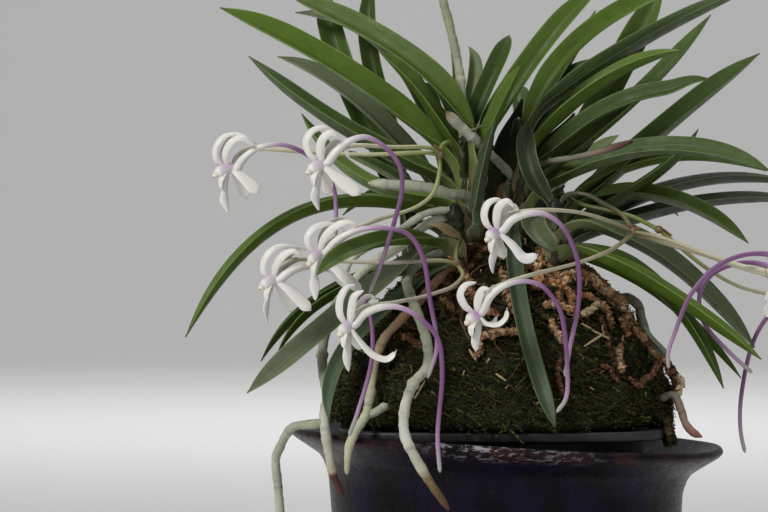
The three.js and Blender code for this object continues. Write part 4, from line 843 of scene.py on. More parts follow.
# Heights and radii of the pots. SLANT is the brim's tilt, SQUARENESS the power that squares the
# liner's collar, and LINER_SHIFT how far the liner stands off the pot's axis.
BRIM_HEIGHT, BRIM_RADIUS, LIP, THROAT, THROAT_HEIGHT = 89, 50, 2.3, 37, 81
BODY_RADIUS, FOOT_RADIUS, FLOOR_HEIGHT, SLANT = 40.7, 35.6, 6, math.tan(math.radians(3))
COLLAR, COLLAR_TOP, COLLAR_HEIGHT, SQUARENESS, LINER_SHIFT = 36.8, 91.4, 2.2, 4.6, -1.5
LINER_RADIUS, LINER_FOOT, LINER_WALL = 33.5, 29, 1.6


def filleted(profile, reach, steps=5):
    """The profile with its corners rounded, each by reach or what its sides allow."""
    p = np.array(profile, float)
    out = [p[0]]
    for a, b, c in zip(p, p[1:], p[2:]):
        size = min(reach, 0.45 * np.linalg.norm(b - a), 0.45 * np.linalg.norm(c - b))
        before, after = b - unit(b - a) * size, b + unit(c - b) * size
        for t in np.linspace(0, 1, steps):
            out.append((1 - t) ** 2 * before + 2 * t * (1 - t) * b + t**2 * after)
    return np.array(out + [p[-1]])


def dense(profile, step):
    """The profile with long straight stretches divided."""
    out = [profile[0]]
    for a, b in zip(profile, profile[1:]):
        count = max(1, int(np.linalg.norm(b - a) / step))
        out += [a + (b - a) * k / count for k in range(1, count + 1)]
    return np.array(out)


def turned(profile, sides, place):
    """Rings of a turned form, moved by place."""
    angle = around(sides)
    rings = np.stack([profile[:, :1] * np.cos(angle), profile[:, :1] * np.sin(angle),
                      np.repeat(profile[:, 1:], sides, 1)], -1)
    return place(rings)


def glazed_pot():
    lip = BRIM_HEIGHT - LIP
    profile = [
        (0.5, 0), (FOOT_RADIUS - 2, 0), (FOOT_RADIUS, 2), (BODY_RADIUS, BRIM_HEIGHT - 11),
        (BODY_RADIUS + 1.6, BRIM_HEIGHT - 6.9), (BRIM_RADIUS - 4, lip - 2.1),
        (BRIM_RADIUS - 0.8, lip), (BRIM_RADIUS, lip + 1), (BRIM_RADIUS - 1, BRIM_HEIGHT),
        (BRIM_RADIUS - 4, BRIM_HEIGHT - 1.6), (BRIM_RADIUS - 8, BRIM_HEIGHT - 3.9),
        (THROAT + 1.6, THROAT_HEIGHT + 2.3), (THROAT, THROAT_HEIGHT),
        (FOOT_RADIUS - 4, FLOOR_HEIGHT + 3), (FOOT_RADIUS - 7, FLOOR_HEIGHT), (0.5, FLOOR_HEIGHT),
    ]
    profile = dense(filleted(profile, 1.6), 3.5)

    def place(rings):
        x, y, z = rings[..., 0], rings[..., 1], rings[..., 2]
        turn = np.arctan2(y, x)
        reach = np.hypot(x, y)
        hand = 0.18 * np.sin(3 * turn + 0.7) + 0.1 * np.sin(7 * turn + z * 0.3)
        grow = 1 + hand * smooth(reach, 20, 40) / 50
        z = z - x * SLANT * smooth(z, 50, THROAT_HEIGHT) + hand * smooth(reach, 42, 49)
        return np.stack([x * grow, y * grow, z], -1)

    rings = turned(profile, 200, place)
    edge = smooth(np.hypot(rings[..., 0], rings[..., 1]), BRIM_RADIUS - 3.5, BRIM_RADIUS - 0.5)
    # Painted highlight: across carries the mask of the glints, the front of the lip where pale crackles of
    # reflected light are painted.
    turn = np.arctan2(rings[..., 1], rings[..., 0])
    glints = np.exp(-(((turn + 1.76) / 0.17) ** 2)) + 0.45 * np.exp(-(((turn + 1.4) / 0.2) ** 2))
    painted_glint_mask = edge * glints
    shape = Shape()
    points, faces = skin(rings)
    shape.add(points, faces, (0.01, 0.01, 0.012), spread(painted_glint_mask, *edge.shape), spread(edge, *edge.shape))
    shape.build("glazed_pot", glaze_finish(), "glaze", "pot_glazed")


def liner_pot():
    foot, under, inside = FLOOR_HEIGHT + 0.3, COLLAR_TOP - COLLAR_HEIGHT, COLLAR - 2.6
    profile = [
        (5, foot + 0.8), (5, foot), (LINER_FOOT - 3, foot), (LINER_FOOT - 1, foot + 3),
        (LINER_RADIUS, under - 0.1), (LINER_RADIUS + 0.7, under), (COLLAR, under),
        (COLLAR, COLLAR_TOP), (inside, COLLAR_TOP), (inside - 0.2, COLLAR_TOP - 0.9),
        (LINER_RADIUS - LINER_WALL, under - 1), (LINER_FOOT - 2 - LINER_WALL, foot + LINER_WALL),
        (5, foot + LINER_WALL), (5, foot + 0.8),
    ]
    profile = dense(filleted(profile, 0.5, 4), 4)

    def place(rings):
        x, y, z = rings[..., 0], rings[..., 1], rings[..., 2]
        reach = np.hypot(x, y)
        turn = np.arctan2(y, x)
        sides = np.abs(np.cos(turn)) ** SQUARENESS + np.abs(np.sin(turn)) ** SQUARENESS
        square = sides ** (-1 / SQUARENESS)
        share = smooth(reach, LINER_RADIUS, LINER_RADIUS + 0.8)
        scale = 1 + (square - 1) * share
        return np.stack([x * scale + LINER_SHIFT, y * scale, z], -1)

    rings = turned(profile, 160, place)
    shape = Shape()
    points, faces = skin(rings)
    dust = smooth(rings[..., 2], COLLAR_TOP - 1.2, COLLAR_TOP)
    shape.add(points[:-2], faces[:1], (0.01, 0.01, 0.01), 0.0, dust.ravel())
    shape.build("liner_pot", plastic_finish(), "liner_plastic", "pot_liner")


# ---------------------------------------------------------------- moss

MOUND_X, MOUND_RADIUS, MOUND_TOP, MOUND_POWER = -1, 39, 136, 1.55
MOUND_FOOT = COLLAR_TOP + 0.3
# The length of the mound's side from its foot to its top.
MOUND_SIDE = 62
# The turn from one leaflet or scale to the next round its stem.
LEAFLET_TURN = 2.4
SHOOTS, LEAFLETS = 4600, 12
# The turns about the mound between which the camera sees it best.
MOUND_FRONT = (-2.2, -0.6)


def mound_height(x, y):
    share = np.minimum(1, np.hypot(np.asarray(x) - MOUND_X, y) / MOUND_RADIUS)
    return MOUND_FOOT + (MOUND_TOP - MOUND_FOOT) * (1 - share**MOUND_POWER) ** (1 / MOUND_POWER)


def mound_point(turn, rise):
    """The mound's surface at a turn about it and a rise from 0, its foot, to 1, its top."""
    angle = rise * math.pi / 2
    out = np.cos(angle) ** (2 / MOUND_POWER)
    up = np.sin(angle) ** (2 / MOUND_POWER)
    x, y = MOUND_RADIUS * out * np.cos(turn), MOUND_RADIUS * out * np.sin(turn)
    z = MOUND_FOOT + 1.2 + (MOUND_TOP - MOUND_FOOT - 1.2) * up
    lumps = 0.6 * np.sin(x * 0.23 + 1.3) * np.cos(y * 0.27 + z * 0.21)
    lumps += 0.4 * np.sin(x * 0.61 + z * 0.4) * np.sin(y * 0.57 - z * 0.5 + 2.1)
    swell = 1.3 * lumps * smooth(z, MOUND_FOOT, MOUND_FOOT + 8)
    return np.stack([x + MOUND_X + np.cos(turn) * swell, y + np.sin(turn) * swell, z + 0.5 * swell], -1)


def mound_normal(turn, rise):
    d = 0.004
    one = mound_point(turn + d, rise) - mound_point(turn - d, rise)
    other = mound_point(turn, np.minimum(rise + d, 0.999)) - mound_point(turn, np.maximum(rise - d, 0.001))
    return unit(np.cross(one, other))


def above_mound(turn, rise, lift):
    """The point lift millimetres above the mound's surface."""
    turn, rise = np.array(turn), np.array(rise)
    return mound_point(turn, rise) + mound_normal(turn, rise) * lift


def wander(turn, rise, way, reach, steps, low):
    """The next place of a walk over the mound in the direction way, one of steps over reach."""
    turn += math.cos(way) * reach / steps / max(8.0, MOUND_RADIUS * math.cos(rise * math.pi / 2))
    return turn, min(0.96, max(low, rise + math.sin(way) * reach / steps / MOUND_SIDE))


def mound_places(count, low=0.0, high=0.97):
    """Random places on the mound, as dense on its steep side as on its top."""
    table = np.linspace(low, high, 400)
    line = mound_point(np.zeros(400), table)
    step = np.r_[0, np.linalg.norm(np.diff(line, axis=0), axis=1)]
    weight = np.cumsum(step * np.maximum(line[:, 0] - MOUND_X, 0.5))
    rise = np.interp(rng.random(count), weight / weight[-1], table)
    return rng.random(count) * 2 * math.pi, rise


def moss_body():
    """The mound, with the plug below it that fills the liner."""
    rises = np.linspace(0, 0.985, 90)
    turns = around(220)
    turn, rise = np.meshgrid(turns, rises)
    rings = mound_point(turn, rise)
    normal = mound_normal(turn, rise)
    rough = np.array([noise.fractal(Vector(p * 0.22), 0.9, 2.1, 5) for p in rings.reshape(-1, 3)])
    rings = rings + normal * (0.9 * rough.reshape(turn.shape) - 0.5)[..., None]
    foot, bottom = FLOOR_HEIGHT + LINER_WALL + 0.6, LINER_FOOT - 2.5 - LINER_WALL
    top = LINER_RADIUS - LINER_WALL - 0.6
    plug = [(0.5, foot), (bottom, foot), (bottom + 1, foot + 4), (top - 0.8, COLLAR_TOP - 6),
            (top, MOUND_FOOT), (MOUND_RADIUS - 2, MOUND_FOOT)]
    shift = np.array([LINER_SHIFT, 0, 0])
    inner = turned(np.array(plug), 220, lambda r: r + shift)
    inner[-1] += (MOUND_X - LINER_SHIFT, 0, 0)
    points, faces = skin(np.vstack([inner, rings]))
    shape = Shape()
    shape.add(points, faces, (0.020, 0.021, 0.008), 0.0, 0.5)
    shape.build("moss_mound_body", moss_finish(), "moss", "moss_mound")


def sprigs(shape, base, ahead, length, size, paint, droop, spray):
    """Moss shoots: leaflets set all round a bent stem, with one row of values for each shoot."""
    count, leaflets = len(base), LEAFLETS
    one = unit(np.cross(ahead, rng.normal(size=(count, 3))))
    other = np.cross(ahead, one)
    at = np.linspace(0.06, 1, leaflets)[None, :, None]
    bend = one * rng.uniform(-droop, droop, (count, 1)) + [0, 0, -0.25]
    stem = base[:, None] + length[:, None, None] * (at * ahead[:, None] + at**2 * bend[:, None] * 0.6)
    turn = rng.uniform(0, 2 * math.pi, (count, 1, 1)) + np.arange(leaflets)[None, :, None] * LEAFLET_TURN
    out = np.cos(turn) * one[:, None] + np.sin(turn) * other[:, None]
    tip_way = unit(out * spray + ahead[:, None] * 0.8 + rng.normal(0, 0.15, (count, leaflets, 3)))
    wide = unit(np.cross(tip_way, ahead[:, None] + out * 0.01))
    size = size[:, None, None] * (1.15 - 0.5 * at) * rng.uniform(0.75, 1.25, (count, leaflets, 1))
    tip = stem + tip_way * size
    middle = stem + tip_way * size * 0.42
    quads = np.stack([stem, middle + wide * size * 0.24, tip, middle - wide * size * 0.24], 2)
    faces = np.arange(count * leaflets * 4).reshape(-1, 4)
    shade = paint[:, None, :] * (0.7 + 0.45 * at) * rng.uniform(0.85, 1.15, (count, leaflets, 1))
    shape.add(quads, [faces], np.repeat(shade.reshape(-1, 3), 4, axis=0), 0.0, 0.5)


def moss_cover():
    """A mat of green and brown shoots that lie over each other all over the mound."""
    greens = np.array([(0.044, 0.058, 0.010), (0.027, 0.036, 0.007), (0.095, 0.112, 0.024),
                       (0.046, 0.036, 0.014), (0.085, 0.058, 0.028)])
    for part in range(2):
        count = SHOOTS
        turn, rise = mound_places(count)
        base, normal = mound_point(turn, rise), mound_normal(turn, rise)
        level = unit(np.cross([0, 0, 1.0], normal)) * rng.choice([-1, 1], (count, 1))
        swirl = np.array([noise.noise(Vector(p * 0.07)) for p in base])[:, None]
        down = unit(np.cross(normal, level)) * np.sign(rng.normal(-0.6, 1, (count, 1)))
        way = level + down * (0.5 + swirl) + normal * rng.uniform(-0.05, 0.25, (count, 1))
        ahead = unit(way + rng.normal(0, 0.14, (count, 3)))
        kinds = rng.choice(5, count, p=(0.40, 0.30, 0.08, 0.15, 0.07))
        shape = Shape()
        sprigs(shape, base + normal * 0.1, ahead, rng.uniform(2.2, 4.6, count), rng.uniform(0.6, 1.1, count),
               greens[kinds] * rng.uniform(0.7, 1.35, (count, 1)), droop=0.2, spray=0.36)
        shape.build(f"moss_shoots_{part + 1}", moss_finish(), "moss", "moss_mound", flat=True)


def strands(shape, count, low, high, turns, colours, size):
    """Thin stringy stems that wander over the mound."""
    _, rises = mound_places(count, low, high)
    for rise in rises:
        turn = rng.uniform(*turns)
        reach = rng.uniform(7, 18)
        way = rng.uniform(0, 2 * math.pi)
        line = []
        for _ in range(14):
            line.append(above_mound(turn, rise, rng.uniform(0.2, 1.4)))
            way += rng.normal(0, 0.35)
            turn, rise = wander(turn, rise, way, reach, 14, 0.02)
        line = through(line, 22)
        colour = np.array(colours[rng.integers(len(colours))]) * rng.uniform(0.7, 1.25)
        radius = size * rng.uniform(0.6, 1.3) * np.sqrt(np.sin(np.linspace(0.15, math.pi - 0.15, 22)))
        tube(shape, line, radius, 5, colour)


# Ropes of dried moss on the mound's front, each as its size, its tone and its places, across and up.
MOSS_ROPES = [
    (1.3, "tan", [(-2, 126.6), (0, 119), (1.5, 117), (2.3, 113.5), (-2.6, 112.6), (-6, 111.5),
        (-6.8, 108.9)]),
    (1.4, "rust", [(3, 126), (5, 122.4), (7, 124.6), (10.2, 122.6), (13, 121), (13.8, 116.7)]),
    (1.1, "tan", [(6.7, 118.7), (10.5, 118.2), (13.6, 117)]),
    (1.6, "tan", [(15.8, 125.4), (17.1, 124.2), (19.3, 122.5), (22, 120.9), (24.3, 119.2), (25.4, 117.6),
        (26.6, 115.9), (27.6, 113.1), (28.9, 110.9)]),
    (1.0, "straw", [(15.3, 115.6), (18.5, 118)]),
    (1.0, "rust", [(23.9, 115), (24.8, 112)]),
    (1.3, "tan", [(24.5, 110.2), (24.1, 108), (24.5, 105.5)]),
    (0.65, "red", [(26.2, 102.8), (27.5, 100.6), (29.8, 102), (31.6, 103.8), (33, 105), (34.2, 103.2),
        (35.2, 101), (35.9, 98)]),
    (0.7, "red", [(10, 107.4), (9.7, 104), (10.3, 100.4)]),
    (0.8, "straw", [(3.8, 106.4), (4.4, 103.8), (5, 101.2)]),
    (1.0, "tan", [(8.1, 115.4), (9.2, 113.5), (10.6, 111.1)]),
    (0.9, "tan", [(-15.5, 120.6), (-14, 120), (-12.3, 118.2)]),
    (1.0, "rust", [(-23.4, 112.3), (-21.5, 111.5), (-19.5, 109.8)]),
    (1.2, "rust", [(-12, 127), (-9, 124), (-8, 120), (-4, 117)]),
    (1.3, "rust", [(11, 129.5), (14.5, 127.6), (18, 125.4), (21.5, 122)]),
    (1.1, "rust", [(25.8, 117), (28, 113.8), (29.8, 110.5), (31.6, 107)]),
    (0.9, "rust", [(15, 121), (18, 119.5), (21.5, 117), (22, 114)]),
    (0.5, "red", [(19.5, 105.5), (21.5, 104.2), (22.6, 102)]),
]
# Short straws on the mound's front, each as its thickness and its two ends, across and up.
MOSS_STRAWS = [
    (0.28, [(15.2, 109.3), (20.1, 112)]), (0.25, [(14.8, 114), (18.3, 112.5)]),
    (0.3, [(-9.4, 109.1), (-7.6, 106.5)]), (0.3, [(17.4, 112.7), (21, 111)]),
    (0.22, [(-18.6, 102.7), (-20.6, 98.5)]), (0.25, [(-3, 104), (-1, 102.5)]),
]
# The crumbs on the brim, each as its turn about the pot and its distance from the pot's axis.
BRIM_CRUMBS = [
    (-1.80, 42.5), (-1.62, 43.5), (-1.38, 43), (-1.0, 44), (-0.86, 45.5), (-0.78, 44), (-0.7, 46.5),
]
ROPE_TONES = {
    "tan": [(0.42, 0.25, 0.12), (0.54, 0.36, 0.20), (0.24, 0.125, 0.06), (0.66, 0.50, 0.33)],
    "rust": [(0.33, 0.165, 0.075), (0.43, 0.25, 0.12), (0.18, 0.085, 0.04), (0.56, 0.39, 0.24)],
    "red": [(0.13, 0.052, 0.028), (0.18, 0.080, 0.042), (0.075, 0.032, 0.018), (0.25, 0.14, 0.08)],
    "straw": [(0.48, 0.38, 0.22), (0.56, 0.46, 0.30), (0.36, 0.26, 0.14), (0.64, 0.55, 0.40)],
    "olive": [(0.052, 0.055, 0.014), (0.035, 0.038, 0.010), (0.026, 0.024, 0.008), (0.10, 0.085, 0.03)],
}


def on_mound(across, up, out):
    """The point of the mound's front at a place across and up, moved out from the surface."""
    share = np.clip((up - MOUND_FOOT - 1.2) / (MOUND_TOP - MOUND_FOOT - 1.2), 0.001, 0.98)
    rise = np.arcsin(share ** (MOUND_POWER / 2)) / (math.pi / 2)
    reach = MOUND_RADIUS * np.cos(rise * math.pi / 2) ** (2 / MOUND_POWER)
    turn = -np.arccos(np.clip((across - MOUND_X) / reach, -0.995, 0.995))
    return above_mound(turn, rise, np.asarray(out)[..., None])


def rope(shape, line, size, tones, bend=0.35):
    """A strand of moss: a thin stem hidden by small scales that all lie forwards along it."""
    reach = length_of(line)
    rows = max(12, int(reach * 4))
    line = even(line, rows)
    line = line + np.array([noise.noise_vector(Vector(p * 0.31)) for p in line]) * bend
    ahead = headings(line)
    one, other = carried(line)
    s = np.linspace(0, 1, rows)
    girth = size * (0.8 + 0.2 * np.sin(s * reach * 1.1)) * np.sqrt(np.clip(4 * s * (1 - s) + 0.12, 0, 1))
    tones = np.array(tones)
    tube(shape, line, girth * 0.6, 8, tones[2] * 0.6)
    count = int(reach * 17)
    at = np.sort(rng.integers(0, rows, count))
    turn = (np.arange(count) * LEAFLET_TURN + rng.normal(0, 0.3, count))[:, None]
    out = np.cos(turn) * one[at] + np.sin(turn) * other[at]
    base = line[at] + out * (girth[at] * rng.uniform(0.4, 0.62, count))[:, None]
    way = unit(ahead[at] + out * rng.uniform(0.1, 0.5, (count, 1)) + rng.normal(0, 0.12, (count, 3)))
    long = rng.uniform(1.2, 2.0, count) * (0.5 + 0.42 * size)
    wide = unit(np.cross(way, out)) * (long * rng.uniform(0.36, 0.55, count))[:, None]
    lift = np.cross(wide, way) * 0.4
    tip, middle = base + way * long[:, None], base + way * (long * 0.5)[:, None]
    points = np.stack([base, middle + wide - lift, tip, middle - wide - lift], 1)
    shade = tones[rng.choice(4, count, p=(0.4, 0.27, 0.18, 0.15))] * rng.uniform(0.75, 1.2, (count, 1))
    faces = np.arange(count * 4).reshape(-1, 4)
    shape.add(points, [faces], np.repeat(shade, 4, axis=0), 0.0, 0.5)


def garland():
    """The dried garland that lies over the mound's right shoulder: a core with strands wound round it."""
    route = [(x, y, float(mound_height(x, y)) + 0.8) for x, y in DRY_MOSS_PLAN]
    shape = Shape()
    line = through(route, 60)
    rope(shape, line, 2.0, ROPE_TONES["tan"], 0.3)
    one, other = carried(line)
    for k in range(5):
        turn = k * 1.26 + np.linspace(0, 5, 60)
        wound = line + (np.cos(turn)[:, None] * one + np.sin(turn)[:, None] * other) * 1.1
        rope(shape, wound, 0.95, ROPE_TONES[("rust", "tan")[k % 2]], 0.3)
    shape.build("dry_moss_garland", dry_moss_finish(), "dry_moss", "moss_dry", flat=True)


def any_tone(*names):
    return ROPE_TONES[names[rng.integers(len(names))]]


def moss_ropes():
    """The ropes on the mound's front, and those that hang or clump over the collar or lie at random."""
    ropes = Shape()
    for size, tone, places in MOSS_ROPES:
        across, up = np.array(places, float).T
        places = on_mound(across, up, np.full(len(up), 0.9 + 0.45 * size))
        rope(ropes, through(places, 60), size, ROPE_TONES[tone])
    for _ in range(9):
        x, y = rng.uniform(33.5, 35.5), rng.uniform(-24, -4)
        hang = [(x - 3, y + 2, 95), (x, y, 93.5), (x + 1.2, y - 1, 91.3),
                (x + rng.uniform(0.8, 2), y - 1.5, rng.uniform(88, 89.5))]
        rope(ropes, through(hang, 30), rng.uniform(0.7, 1.1), any_tone("red", "olive", "olive"))
    for lift, tone in ((0, "red"), (1.2, "red"), (-1.1, "rust")):
        clump = [(32.5, -9 + lift, 106 + lift), (35, -10 + lift, 106.5), (37, -10, 104.6 + 0.5 * lift),
                 (38.2, -10 - lift, 102), (38.4, -10 + lift, 99.2), (37.6, -10, 97)]
        rope(ropes, through(clump, 30), 1.0, ROPE_TONES[tone])
    pale_end = [(38.2, -12, 103.4), (39.2, -12, 101.8), (39, -12, 99.9)]
    rope(ropes, through(pale_end, 12), 0.9, ROPE_TONES["straw"])
    for _ in range(56):
        turn, rise = rng.uniform(0.3, 5.6), rng.uniform(0.42, 0.93)
        way, line = rng.uniform(0, 2 * math.pi), []
        for _ in range(6):
            line.append(above_mound(turn, rise, 0.5))
            way += rng.normal(0, 0.5)
            turn, rise = wander(turn, rise, way, 2.2, 1, 0.05)
        rope(ropes, through(line, 30), rng.uniform(0.6, 1.2), any_tone("rust", "red", "olive"))
    ropes.build("dry_moss_ropes", dry_moss_finish(), "dry_moss", "moss_mound", flat=True)


def moss_litter():
    """Brown strands, straws and flakes on the mound, and crumbs on the pot's brim."""
    shape = Shape()
    browns = [(0.12, 0.07, 0.035), (0.17, 0.10, 0.055), (0.07, 0.04, 0.02), (0.05, 0.045, 0.018)]
    strands(shape, 80, 0.2, 0.9, (0, 2 * math.pi), browns, 0.14)
    strands(shape, 22, 0.4, 0.85, MOUND_FRONT, browns, 0.16)
    for size, places in MOSS_STRAWS:
        line = even(on_mound(*np.array(places, float).T, np.full(2, 1.3)), 12)
        tube(shape, line, size * np.sqrt(np.sin(np.linspace(0.2, math.pi - 0.2, 12))), 7, (0.46, 0.36, 0.21))
    for turn, reach in BRIM_CRUMBS:
        x, y = reach * math.cos(turn), reach * math.sin(turn)
        crumb = np.array([x, y, 85.4 + 0.575 * (reach - 42) - x * SLANT])
        size = rng.uniform(0.35, 0.8)
        axes = (size * 1.5, size * (x % 3 - 1), 0.1), (0, size, 0), (0, 0, size * 0.6)
        blob(shape, crumb, axes, (0.30, 0.22, 0.13), 5, 7)
    for _ in range(90):
        start = above_mound(rng.uniform(-2.8, -0.1), rng.uniform(0.12, 0.85), 0.9)
        way = unit(rng.normal(size=3) * (1, 0.4, 1))
        size = rng.uniform(1.0, 2.6)
        flake = through([start, start + way * size * 0.5 + rng.normal(0, 0.25, 3), start + way * size], 6)
        tone = np.array([(0.36, 0.25, 0.14), (0.26, 0.15, 0.08), (0.46, 0.37, 0.24)][rng.integers(3)])
        strap(shape, flake, np.array([0.3, 0.5, 0.8]), rng.uniform(0, 3), 0.4, 0.12, 0.1, tone, 5)
    shape.build("dry_moss_strands", dry_moss_finish(), "dry_moss", "moss_mound")


# ---------------------------------------------------------------- leafy fans

# Rows of points along a leaf, and the usual share of pale colour in its foot.
LEAF_ROWS, PALE_FOOT = 64, 0.65
# Leaf tones. The last one, the darkest, is painted shade for leaves that lie in shade; the grey green is a
# leaf's green with a painted sheen.
TONES = {
    "dark": (0.036, 0.068, 0.007), "mid": (0.064, 0.108, 0.010), "bright": (0.072, 0.120, 0.012),
    "pale": (0.125, 0.165, 0.070), "blue": (0.072, 0.092, 0.045), "grey_painted_sheen": (0.098, 0.118, 0.074),
    "teal": (0.050, 0.074, 0.044), "painted_shade": (0.030, 0.046, 0.022),
}
# The tones of single leaves; the others are mid or dark by chance. The darkest tone is painted shade for
# leaves that lie in shade, the grey tone gives one leaf a painted sheen, and teal on fan_middle's leaf 7 is
# painted shade too.
LEAF_TONES = {
    "fan_front_left": {0: "grey_painted_sheen", 1: "bright", 2: "teal", 5: "painted_shade"},
    "fan_left": {0: "mid", 3: "bright", 5: "bright", 7: "bright"},
    "fan_back_left": {1: "blue", 2: "blue", 3: "mid", 6: "pale"},
    "fan_far_left": {0: "dark", 1: "dark"},
    "fan_middle": {3: "mid", 6: "dark", 7: "teal"},
    "fan_right": {0: "dark", 3: "painted_shade", 4: "painted_shade"},
    "fan_front_right": {0: "mid", 1: "blue", 4: "blue", 5: "painted_shade"},
}
# Leaves finished one by one: a base off the stem's axis, a middle and a tip in place of the CAD's, a
# girth as a share of the width, how blunt the tip is, how long the foot clasps the stem, how pale
# the foot is, and a wave along the blade as (place, millimetres).
LEAF_FITS = {
    "fan_back_left": {
        3: {"base": (-6.5, -11.5, 154), "middle": (-19.2, -8.5, 172.5), "tip": (-50, 4, 190.5)},
    },
    "fan_front_left": {
        0: {"base": (-12, -17.5, 137), "middle": (-38.5, -25, 115.8), "tip": (-58, -34, 100)},
        2: {"girth": 0.8},
        5: {"base": (-7.7, -19, 137.6), "middle": (-5.8, -20.3, 148.8), "clasp": 3.5, "pale": 0.0},
    },
    "fan_middle": {
        4: {"wave": [(0, 0), (0.45, -1.2), (0.66, -2.6), (0.82, -3.6), (0.93, -1.0), (1, 0)]},
        7: {"girth": 0.84, "blunt": 5.0},
    },
    "fan_front_right": {4: {"blunt": 4.0}},
}
# Dried sheaths that curl away from a stem, and old leaf stubs in its shade whose near-black green is painted
# shade: their line, width and colour.
CURLED_SHEATHS = {
    "fan_left": [([(-10.6, -11, 156.3), (-8, -12.6, 158.6), (-4.6, -12.6, 159.2)], 3.0, (0.085, 0.11, 0.05)),
        ([(-12.2, 1, 149.4), (-15, 2, 155), (-18.2, 2, 161.9)], 6.0, (0.020, 0.036, 0.008)),
        ([(-8, 1, 139.5), (-7.1, 2, 144.8), (-5.7, 2, 151)], 4.0, (0.020, 0.032, 0.008)),
        ([(-11.5, 0, 133.7), (-16.1, 1, 136.5), (-20.7, 1, 137.8)], 5.0, (0.022, 0.034, 0.009)),
        ([(-11.5, 0, 128.6), (-16.8, 1, 130.2), (-23, 1, 129.5)], 4.0, (0.020, 0.030, 0.010))],
    "fan_back": [([(-1.1, 4, 149.4), (0.7, 5, 157.9), (4, 5, 166.5)], 7.0, (0.018, 0.034, 0.008)),
        ([(7, 3, 151), (10.9, 4, 156.8), (16.2, 4, 163.2)], 5.0, (0.018, 0.034, 0.008)), ([(7, 2, 139.5),
        (10.2, 3, 143.4), (13.9, 3, 146.4)], 4.0, (0.020, 0.032, 0.010))],
    "fan_middle": [([(1.5, -1.5, 141.5), (-1.5, -3.5, 143.5), (-1.2, -4.2, 146), (1.2, -4, 146.6)], 2.4,
        (0.17, 0.07, 0.035))],
    "fan_front_left": [([(-11.5, -19.5, 134.8), (-14.5, -20.8, 136.2), (-18.5, -20.5, 137)], 2.8,
        (0.24, 0.17, 0.10))],
    "fan_front_right": [([(10, -14.5, 131), (8, -16.5, 134), (7, -17, 137)], 2.6, (0.20, 0.12, 0.07))],
}


def stem_of(fan):
    """The foot, sunk in the mound, and the top of a fan's stem."""
    x, y = fan["foot"]
    return np.array([x, y, float(mound_height(x, y)) - 7]), np.array(fan["top"], float)


def softened(line, times):
    """The line with its kinks worn down."""
    for _ in range(times):
        line[1:-1] = 0.25 * line[:-2] + 0.5 * line[1:-1] + 0.25 * line[2:]
    return line


def leaf_paint(s, low, tone, share):
    """Colours along a blade and its papery foot, with a green or a dead tip."""
    young = np.array(TONES[tone]) * rng.uniform(0.8, 1.25)
    pale = young * (1 - share) + np.array([0.16, 0.19, 0.075]) * share
    papery = np.array([0.17, 0.12, 0.065]) * (0.3 + 0.7 * min(1, share / PALE_FOOT))
    dead = np.array([0.10, 0.06, 0.03])
    end_colour = young * 1.15 if rng.random() < 0.6 else dead
    paint = ramp(s, [(0, pale), (0.12, young), (0.8, young * 1.1), (0.975, young * 1.2), (1, end_colour)])
    return paint + (papery - paint) * smooth(low, 0.25, 0.9)[:, None]


def leaf(shape, fan, height, middle, tip, width, turn, tone, fit):
    """A strap leaf folded along its midrib. Its foot clasps the stem as a pale sheath."""
    foot, top = stem_of(fan)
    up = unit(top - foot)
    axis = foot + (top - foot) * (height - foot[2]) / (top[2] - foot[2])
    axis = np.array(fit.get("base", axis), float)
    end, middle = np.array(fit.get("tip", tip), float), np.array(fit.get("middle", middle), float)
    width = width * fit.get("girth", 1.0)
    base = axis + (end - axis) * 1.8 / np.linalg.norm(end - axis)
    pull = 2 * middle - (base + end) / 2
    t = np.linspace(0.04, 1, 90)[:, None]
    blade = (1 - t) ** 2 * base + 2 * t * (1 - t) * pull + t**2 * end
    out = unit((end - base) * (1, 1, 0))
    clasp = fit.get("clasp", min(9.0, max(3.0, height - foot[2] - 6)))
    sheath = np.array([axis - up * clasp + out * 0.7, axis - up * (0.55 * clasp) + out * 1.0])
    line = even(softened(even(np.vstack([sheath, blade]), LEAF_ROWS), 8), LEAF_ROWS)
    reach = length_of(line)
    mm = np.linspace(0, reach, LEAF_ROWS)
    s = np.clip((mm - clasp) / (reach - clasp), 0, 1)
    low = 1 - np.clip(mm / clasp, 0, 1)
    side = unit(np.array([out[1], -out[0], 0]))
    wave = rng.uniform(-0.012, 0.012) * reach * np.sin(2 * math.pi * s * rng.uniform(0.8, 1.2))
    line = line + side * (wave * smooth(s, 0, 0.3))[:, None]
    places, heights = zip(*fit.get("wave", [(0, 0), (1, 0)]))
    line[:, 2] += np.interp(s, places, heights)
    line = softened(line, 6)
    taper = np.maximum(0, 1 - np.maximum(0, (s - 0.68) / 0.32) ** fit.get("blunt", 2.8))
    swell = 0.42 + 0.58 * smooth(s, 0, 0.32)
    wide = np.maximum(0.3, width * swell * taper)
    wide = wide * (1 + 0.5 * smooth(low, 0, 0.6)) * (1 - 0.5 * smooth(low, 0.8, 1))
    wide = wide + 1.6 * smooth(low, 0, 0.5)
    depth = wide * (0.74 - 0.36 * s)
    thick = np.maximum(0.25, 0.85 * (1 - 0.35 * s) * np.sqrt(np.minimum(1, taper + 0.05)))
    thick = thick - 0.35 * smooth(low, 0, 0.4)
    roll = math.radians(turn) * (-1 if out[0] < 0 else 1) * smooth(s, 0.0, 0.2) + rng.uniform(-0.1, 0.1) * s
    paint = leaf_paint(s, low, tone, fit.get("pale", PALE_FOOT))
    strap(shape, line, side, roll, wide, depth, thick, paint, 11, 0.16, along=s)


